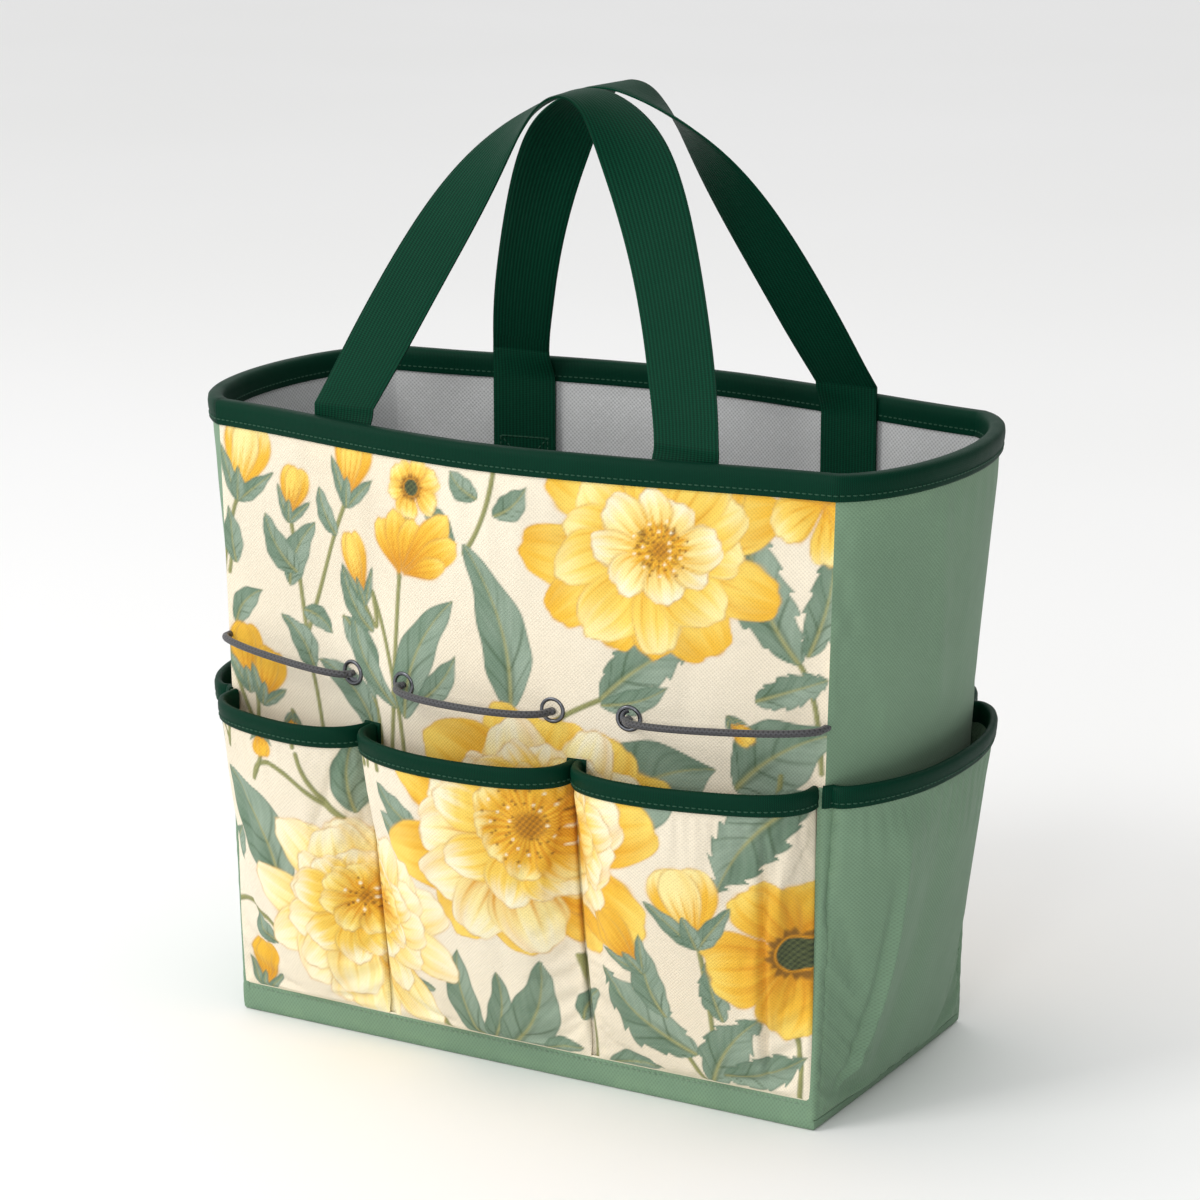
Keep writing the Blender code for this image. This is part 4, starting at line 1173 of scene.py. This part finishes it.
def build_pocket_tape(name, line_at, turn, cloth):
    """Tape folded over a pocket's mouth; its ends stop short of the seams."""
    profile = (
        (182.0, 2.5), (183.0, 3.1), (185.0, 2.8), (188.0, 3.3), (191.5, 3.1), (193.4, 2.4), (194.0, 1.4),
        (194.0, 0.0), (193.4, -1.0), (191.5, -1.6), (188.0, -1.6), (184.0, -1.4), (182.2, -1.2),
        (182.2, -0.35), (188.0, -0.35), (192.8, -0.35), (192.9, 1.75), (188.0, 1.75), (182.2, 1.75),
    )
    count = 181
    rings = [raised(line_at(min(z, POCKET_CLOTH_TOP), out, count)[0], z) for z, out in profile]
    rings = np.swapaxes(np.array(rings), 0, 1)[2:-2]
    travel = arc_length(rings.mean(1))
    rings[..., 2] += (0.3 * np.sin(travel / 17) * np.sin(travel / 41 + 0.5))[:, None]
    made = make_sweep(name + "_tape", rings * [turn, turn, 1], cloth["tape"], sharp=70)
    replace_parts(made, name + "_binding")
    seam = 185.0
    line, normal = (turn * part[4:-4] for part in line_at(seam, 2.95, count))
    make_stitches(name + "_stitches", raised(line, seam), raised(normal, 0.0), cloth["tape_thread"])


def build_pockets(cloth):
    """Three printed pockets on the front and back, tape between them, and a plain pocket on each side."""
    foot = FRONT_BAND + 0.6
    for wall, turn, size in (("front", 1, (193, 193)), ("back", -1, (129, 129))):
        for place, left, right in zip(("left", "middle", "right"), POCKET_EDGES, POCKET_EDGES[1:]):
            build_pocket(
                f"{wall}_pocket_{place}",
                lambda z, out, count, a=left, b=right: pocket_line(a, b, z, foot, out, count),
                foot, turn, cloth, size,
            )
        for k, x in enumerate(POCKET_EDGES[1:3], 1):
            build_divider_tape(f"{wall}_divider_tape_{k}", x, turn, cloth)
    side_foot = SIDE_BAND + 0.6
    for side, turn in (("right", 1), ("left", -1)):
        build_pocket(
            f"{side}_side_pocket",
            lambda z, out, count: side_pocket_line(z, side_foot, out, count),
            side_foot, turn, cloth, (193, 241),
        )


def build_divider_tape(name, x, turn, cloth):
    """The flat bit of mouth tape sewn on the wall between two pockets."""
    section = (
        (182.0, 0.3), (182.6, 1.5), (185.0, 1.35), (188.0, 1.8), (191.5, 1.7), (193.6, 1.3), (194.0, 0.3),
    )
    half, middle = 5.5, 188.0
    line, normal = front_at(np.linspace(x - half, x + half, 21), middle)
    rings = np.array([raised(turn * (line + out * normal), z) for z, out in section])
    make_sweep(name, np.swapaxes(rings, 0, 1), cloth["tape"], sharp=70)


# ---------------------------------------------------------------- handles

def eased(line, reach):
    """The line with its crown eased over reach millimetres to each side; its ends stay put."""
    half = int(reach / np.linalg.norm(line[1] - line[0]))
    window = np.hanning(2 * half + 3)[1:-1]
    window /= window.sum()
    before = line[0] - (line[1:half + 1] - line[0])[::-1]
    after = line[-1] - (line[-half - 1:-1] - line[-1])[::-1]
    longer = np.vstack([before, line, after])
    return np.column_stack([np.convolve(longer[:, k], window, "valid") for k in range(3)])


def strap_base():
    """Where a leg's middle leaves the wall, in plan: clear of the wall at the leg's outer edge."""
    line, normal = front_at(np.array([LEG_OFFSET, LEG_OFFSET + STRAP_WIDTH / 2]), WALL_TOP)
    middle, edge = line - normal * (TAIL_AT + STRAP / 2)
    return np.array([middle[0], edge[1]])


def strap_frame():
    """Centre line, width direction and face normal of the front strap above its fold lines."""
    base = strap_base()
    angle = np.linspace(0.0, math.pi, 801)
    cosine, height = np.cos(angle), np.clip(np.sin(angle), 0, 1) ** 2.0
    x = -base[0] * np.sign(cosine) * abs(cosine) ** 1.1
    y = base[1] + (-GRIP_Y - base[1]) * height ** 0.9
    z = FOLD_HEIGHT + (GRIP_HEIGHT - FOLD_HEIGHT) * height
    fine = eased(resample(np.column_stack([x, y, z]), len(angle)), 26.0)
    run = unit(np.gradient(fine, axis=0))
    high = np.clip((fine[:, 2] - FOLD_HEIGHT) / (GRIP_HEIGHT - FOLD_HEIGHT), 0, 1)
    twist = math.pi / 2 * high ** 4.5
    lie = np.zeros(fine.shape)
    lie[:, 0] = np.where(fine[:, 0] < 0, -1.0, 1.0)
    across = lie * np.cos(twist)[:, None]
    across[:, 1] += np.sin(twist)
    square = unit(across - (across * run).sum(1)[:, None] * run)
    ease = smooth_step(high, 0, 0.3)[:, None]
    width = unit(lie * (1 - ease) + square * ease)
    return fine, width, unit(np.cross(run, width))


ACROSS = 15  # points across each face of a strap


def strap_section(centre, width, face):
    """Rings of a strap's section: flat faces, thinner rounded selvedges."""
    rings = []
    shares = np.linspace(-1, 1, ACROSS)
    thick = STRAP / 2 * (1 - 0.45 * abs(shares) ** 10) * (1 + 0.12 * hill(abs(shares) - 0.84, 0.06))
    for side in (1, -1):
        for share, t in list(zip(shares, thick))[::side]:
            rings.append(centre + width * share * STRAP_WIDTH / 2 + face * side * t)
    return np.swapaxes(np.array(rings), 0, 1)


def tail_rings(side):
    """Rings up the sewn end of a front strap, from its bottom to just below the fold line."""
    base = strap_base()
    shares = np.linspace(-1, 1, ACROSS)
    thick = (STRAP / 2 * (1 - 0.45 * abs(shares) ** 10))[:, None]
    rings = []
    for z in np.concatenate([np.linspace(TAIL_BOTTOM, 344, 36), np.linspace(346, FOLD_HEIGHT, 14)]):
        straight = smooth_step(z, 346, FOLD_HEIGHT)
        line, normal = front_at(side * LEG_OFFSET + shares * STRAP_WIDTH / 2, min(z, WALL_TOP))
        free = np.column_stack([side * base[0] + shares * STRAP_WIDTH / 2, np.full(ACROSS, base[1])])
        middle = (line - normal * (TAIL_AT + STRAP / 2)) * (1 - straight) + free * straight
        facing = unit(normal * (1 - straight) + np.array([0.0, -1.0]) * straight)
        rings.append(raised(np.vstack([middle + facing * thick, (middle - facing * thick)[::-1]]), z))
    return np.array(rings)


def build_handles(cloth):
    """Each handle is one strap above its fold lines and, below them, two sewn feet that run on from its ends.
    """
    line, width, face = strap_frame()
    reach = arc_length(line)

    def cut(start, end, count):
        at = np.linspace(start, end, count)
        centre, across, facing = (found_at(at, reach, values) for values in (line, width, face))
        return strap_section(centre, unit(across), unit(facing))

    def gap(first, second):
        return np.linalg.norm(first - second)

    meet, fold_z = FOLD_LENGTH / 2, FOLD_HEIGHT * MM
    for wall, turn in (("front", 1), ("back", -1)):
        flip = np.array([turn, turn, 1])
        rings = cut(meet, reach[-1] - meet, 330) * flip
        grip = make_sweep(f"{wall}_handle_strap", rings, cloth["webbing"], None)
        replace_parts(grip, f"{wall}_handle")
        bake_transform(grip)
        for place, side, end, way in (("left", -1, 0.0, 1), ("right", 1, reach[-1], -1)):
            upper, lower = cut(end + way * 0.5, end + way * meet, 12), tail_rings(side)
            first = lower[-1, 0]
            if gap(upper[0, 0], first) > gap(upper[0, ACROSS - 1], first):
                upper = np.concatenate([upper[:, :ACROSS][:, ::-1], upper[:, ACROSS:][:, ::-1]], 1)
            if gap(upper[0, 0], first) > gap(upper[0, -1], first):
                upper = upper[:, ::-1]
            rings = np.concatenate([lower, upper]) * flip
            foot = make_sweep(f"{wall}_handle_foot_{place}", rings, cloth["webbing"], None)
            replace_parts(foot, f"{wall}_handle_tail_{place}", f"{wall}_handle_fold_{place}")
            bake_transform(foot)
            build_box_stitch(f"{wall}_handle_stitches_{place}", side, flip, cloth)


def build_box_stitch(name, side, flip, cloth):
    """A sewn box with a cross, low on the strap's end inside the bag."""
    half, low, high = 14.5, 280.0, 312.0
    corners = np.array([(-half, low), (half, low), (half, high), (-half, high), (-half, low), (half, high)])
    runs = [*zip(corners, corners[1:]), (corners[3], corners[1])]
    path, out = [], []
    t = np.linspace(0, 1, 12)[:, None]
    for start, end in runs:
        for x, z in start * (1 - t) + end * t:
            point, normal = front_at(np.array(side * LEG_OFFSET + x), z)
            path.append((*(point - normal * (TAIL_AT + STRAP + 0.1)), z))
            out.append((*-normal, 0.0))
    make_stitches(name, np.array(path) * flip, np.array(out) * flip, cloth["strap_thread"])


# ---------------------------------------------------------------- eyelets and tool loops

def front_spot(x):
    """An eyelet's centre on the front cloth and its outward axis, on the flat facet of the CAD wall."""
    facets, below, above = 13, 205.0, 235.0
    edges = np.linspace(-1, 1, facets + 1)
    low, high = (raised(front_at(corner(z)[0] * edges, z)[0], z) for z in (below, above))
    share, i = math.modf((x / corner((below + above) / 2)[0] + 1) / 2 * facets)
    i = int(i)
    foot, head = (edge[i] * (1 - share) + edge[i + 1] * share for edge in (low, high))
    return (foot + head) / 2, unit(np.cross(low[i + 1] - low[i], head - foot))


def lathe(centre, axis, profile, count):
    """Rings of a turned shape; the profile is (radius, distance along the axis)."""
    sideways = unit(np.cross([0, 0, 1.0], axis))
    upward = np.cross(axis, sideways)
    angles = np.linspace(0, TAU, count, endpoint=False)
    spokes = np.array([math.cos(a) * sideways + math.sin(a) * upward for a in angles])
    return np.array([centre + spokes * radius + axis * along for radius, along in profile])


def arc(out, along, radii, start, end, count):
    """Points of a rounded edge round (out, along), for a turned shape's profile."""
    angles = np.linspace(start, end, count)
    return [(out + radii[0] * math.cos(a), along + radii[1] * math.sin(a)) for a in angles]


def build_eyelets(cloth):
    """Turned rings, and the knotted cord end that fills each; its head is drawn a little wider than high."""
    ring = [
        (3.6, -2.9), (3.6, 0.4), (6.8, 0.4), *arc(6.25, 1.3, (1.15, 1.1), -0.7, 3.4, 13),
        (4.9, 0.95), (3.0, 1.05), (2.7, 0.8), (2.7, -2.9),
    ]
    plug = [
        (1.2, -4.4), (3.6, -4.2), (3.9, -3.6), (2.05, -3.1), (2.0, -1.0), (1.7, 1.2), (1.7, 3.4),
        *arc(0.0, CORD_OUT, (CORD_RADIUS, CORD_RADIUS), -0.6, 1.5, 10),
    ]
    for i, x in enumerate(EYELET_X, 1):
        centre, axis = front_spot(x)
        rings = np.swapaxes(lathe(centre, axis, ring, 48), 0, 1)
        made = make_sweep(f"eyelet_ring_{i}", rings, cloth["metal"], looped=True, sharp=65)
        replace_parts(made, f"eyelet_{i}")
        rings = lathe(centre, axis, plug, 20)
        across = unit(np.cross([0, 0, 1.0], axis))
        head = np.array([along > 1.5 for _, along in plug])[:, None, None]
        rings = rings + head * 0.8 * ((rings - centre) @ across)[..., None] * across
        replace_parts(make_sweep(f"cord_end_{i}", rings, cloth["cord"]), f"cord_stop_{i}")


def loop_ends():
    """The three tool loops: name, start, end and outward bow."""
    eyes = [centre + axis * CORD_OUT for centre, axis in map(front_spot, EYELET_X)]
    along, across = corner(LOOP_HEIGHT)
    seams = [np.array([side * (along - 1.0), -(across + 3.3), LOOP_HEIGHT]) for side in (-1, 1)]
    return (
        ("tool_loop_left", seams[0], eyes[0], 10.0),
        ("tool_loop_middle", eyes[1], eyes[2], 18.0),
        ("tool_loop_right", eyes[3], seams[1], 14.0),
    )


def tube(line, radius, sides=16):
    """Rings round a line, its radius given at each point."""
    run = unit(np.gradient(line, axis=0))
    level = unit(np.cross(run, [0.0, 0.0, 1.0]))
    over = np.cross(level, run)
    angles = np.linspace(0, TAU, sides, endpoint=False)
    rings = [line + radius[:, None] * (math.cos(a) * level + math.sin(a) * over) for a in angles]
    return np.swapaxes(np.array(rings), 0, 1)


def build_tool_loops(cloth):
    """Three cords bowed outwards between their ends, and the roots that run on into the side seams."""
    for name, start, end, bow in loop_ends():
        chord = end - start
        axis = unit(chord)
        front = np.array([0.0, -1.0, 0.0])
        out = unit(front - (front @ axis) * axis)
        along, sag = half_turn(0.9)
        line = resample(start + chord * (0.5 + 0.5 * along)[:, None] + out * (bow * sag ** 0.9)[:, None], 121)
        radius = np.full(len(line), CORD_RADIUS)
        radius[0] = radius[-1] = 0.8 * CORD_RADIUS
        made = make_sweep(name + "_cord", tube(line, radius), cloth["cord"], name)
        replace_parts(made, name)
    t, a = np.linspace(0, 1, 12)[:, None], np.linspace(0.2, 1.5, 6)
    radius = CORD_RADIUS * np.concatenate([np.ones(len(t)), np.cos(a)])
    for side, end in (("left", loop_ends()[0][1]), ("right", loop_ends()[2][2])):
        along, across = corner(LOOP_HEIGHT)
        root = np.array([math.copysign(along - 0.5, end[0]), -(across - 2.0), LOOP_HEIGHT])
        dome = end + unit(end - root) * CORD_RADIUS * np.sin(a)[:, None]
        line = np.vstack([root * (1 - t) + end * t, dome])
        make_sweep(f"cord_root_{side}", tube(line, radius), cloth["cord"])


# ---------------------------------------------------------------- the whole bag

def finish_carried_nodes(cloth):
    """CAD nodes that keep their own shape are closed in by cloth, and only get their material."""
    board = grain_material("base_board", (52, 52, 54), 0.75, 180.0, 4.0, 0.7, 0.0003, 0.5)
    washers = {f"eyelet_washer_{i}": cloth["metal"][0] for i in range(1, 5)}
    for name, material in {"base_board": board, **washers}.items():
        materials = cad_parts[name].data.materials
        materials.clear()
        materials.append(material)


def main():
    """Camera and cords first, then the cloth pieces from the walls outwards."""
    for old in [o for o in bpy.data.objects if o.type in ("CAMERA", "LIGHT")]:
        bpy.data.objects.remove(old, do_unlink=True)
    add_camera()
    green = thread_material("green_thread", (14, 74, 50))
    cloth = {
        "print": (print_material(), "printed_canvas"),
        "sage": (plain_material(), "sage_canvas"),
        "lining": (lining_material(), "lining_cloth"),
        "tape": (tape_material(), "binding_tape"),
        "webbing": (webbing_material(), "webbing"),
        "cord": (cord_material(), "elastic_cord"),
        "metal": (metal_material(), "gunmetal"),
        "tape_thread": (green, "binding_tape"),
        "strap_thread": (green, "webbing"),
        "sage_thread": (thread_material("sage_thread", (122, 150, 126)), "sage_canvas"),
        "cream_thread": (thread_material("cream_thread", (240, 232, 205)), "printed_canvas"),
    }
    for build in (
        build_tool_loops, build_walls, build_linings, build_rim, build_base, build_pockets, build_handles,
        build_eyelets, finish_carried_nodes,
    ):
        build(cloth)
    add_studio()


main()
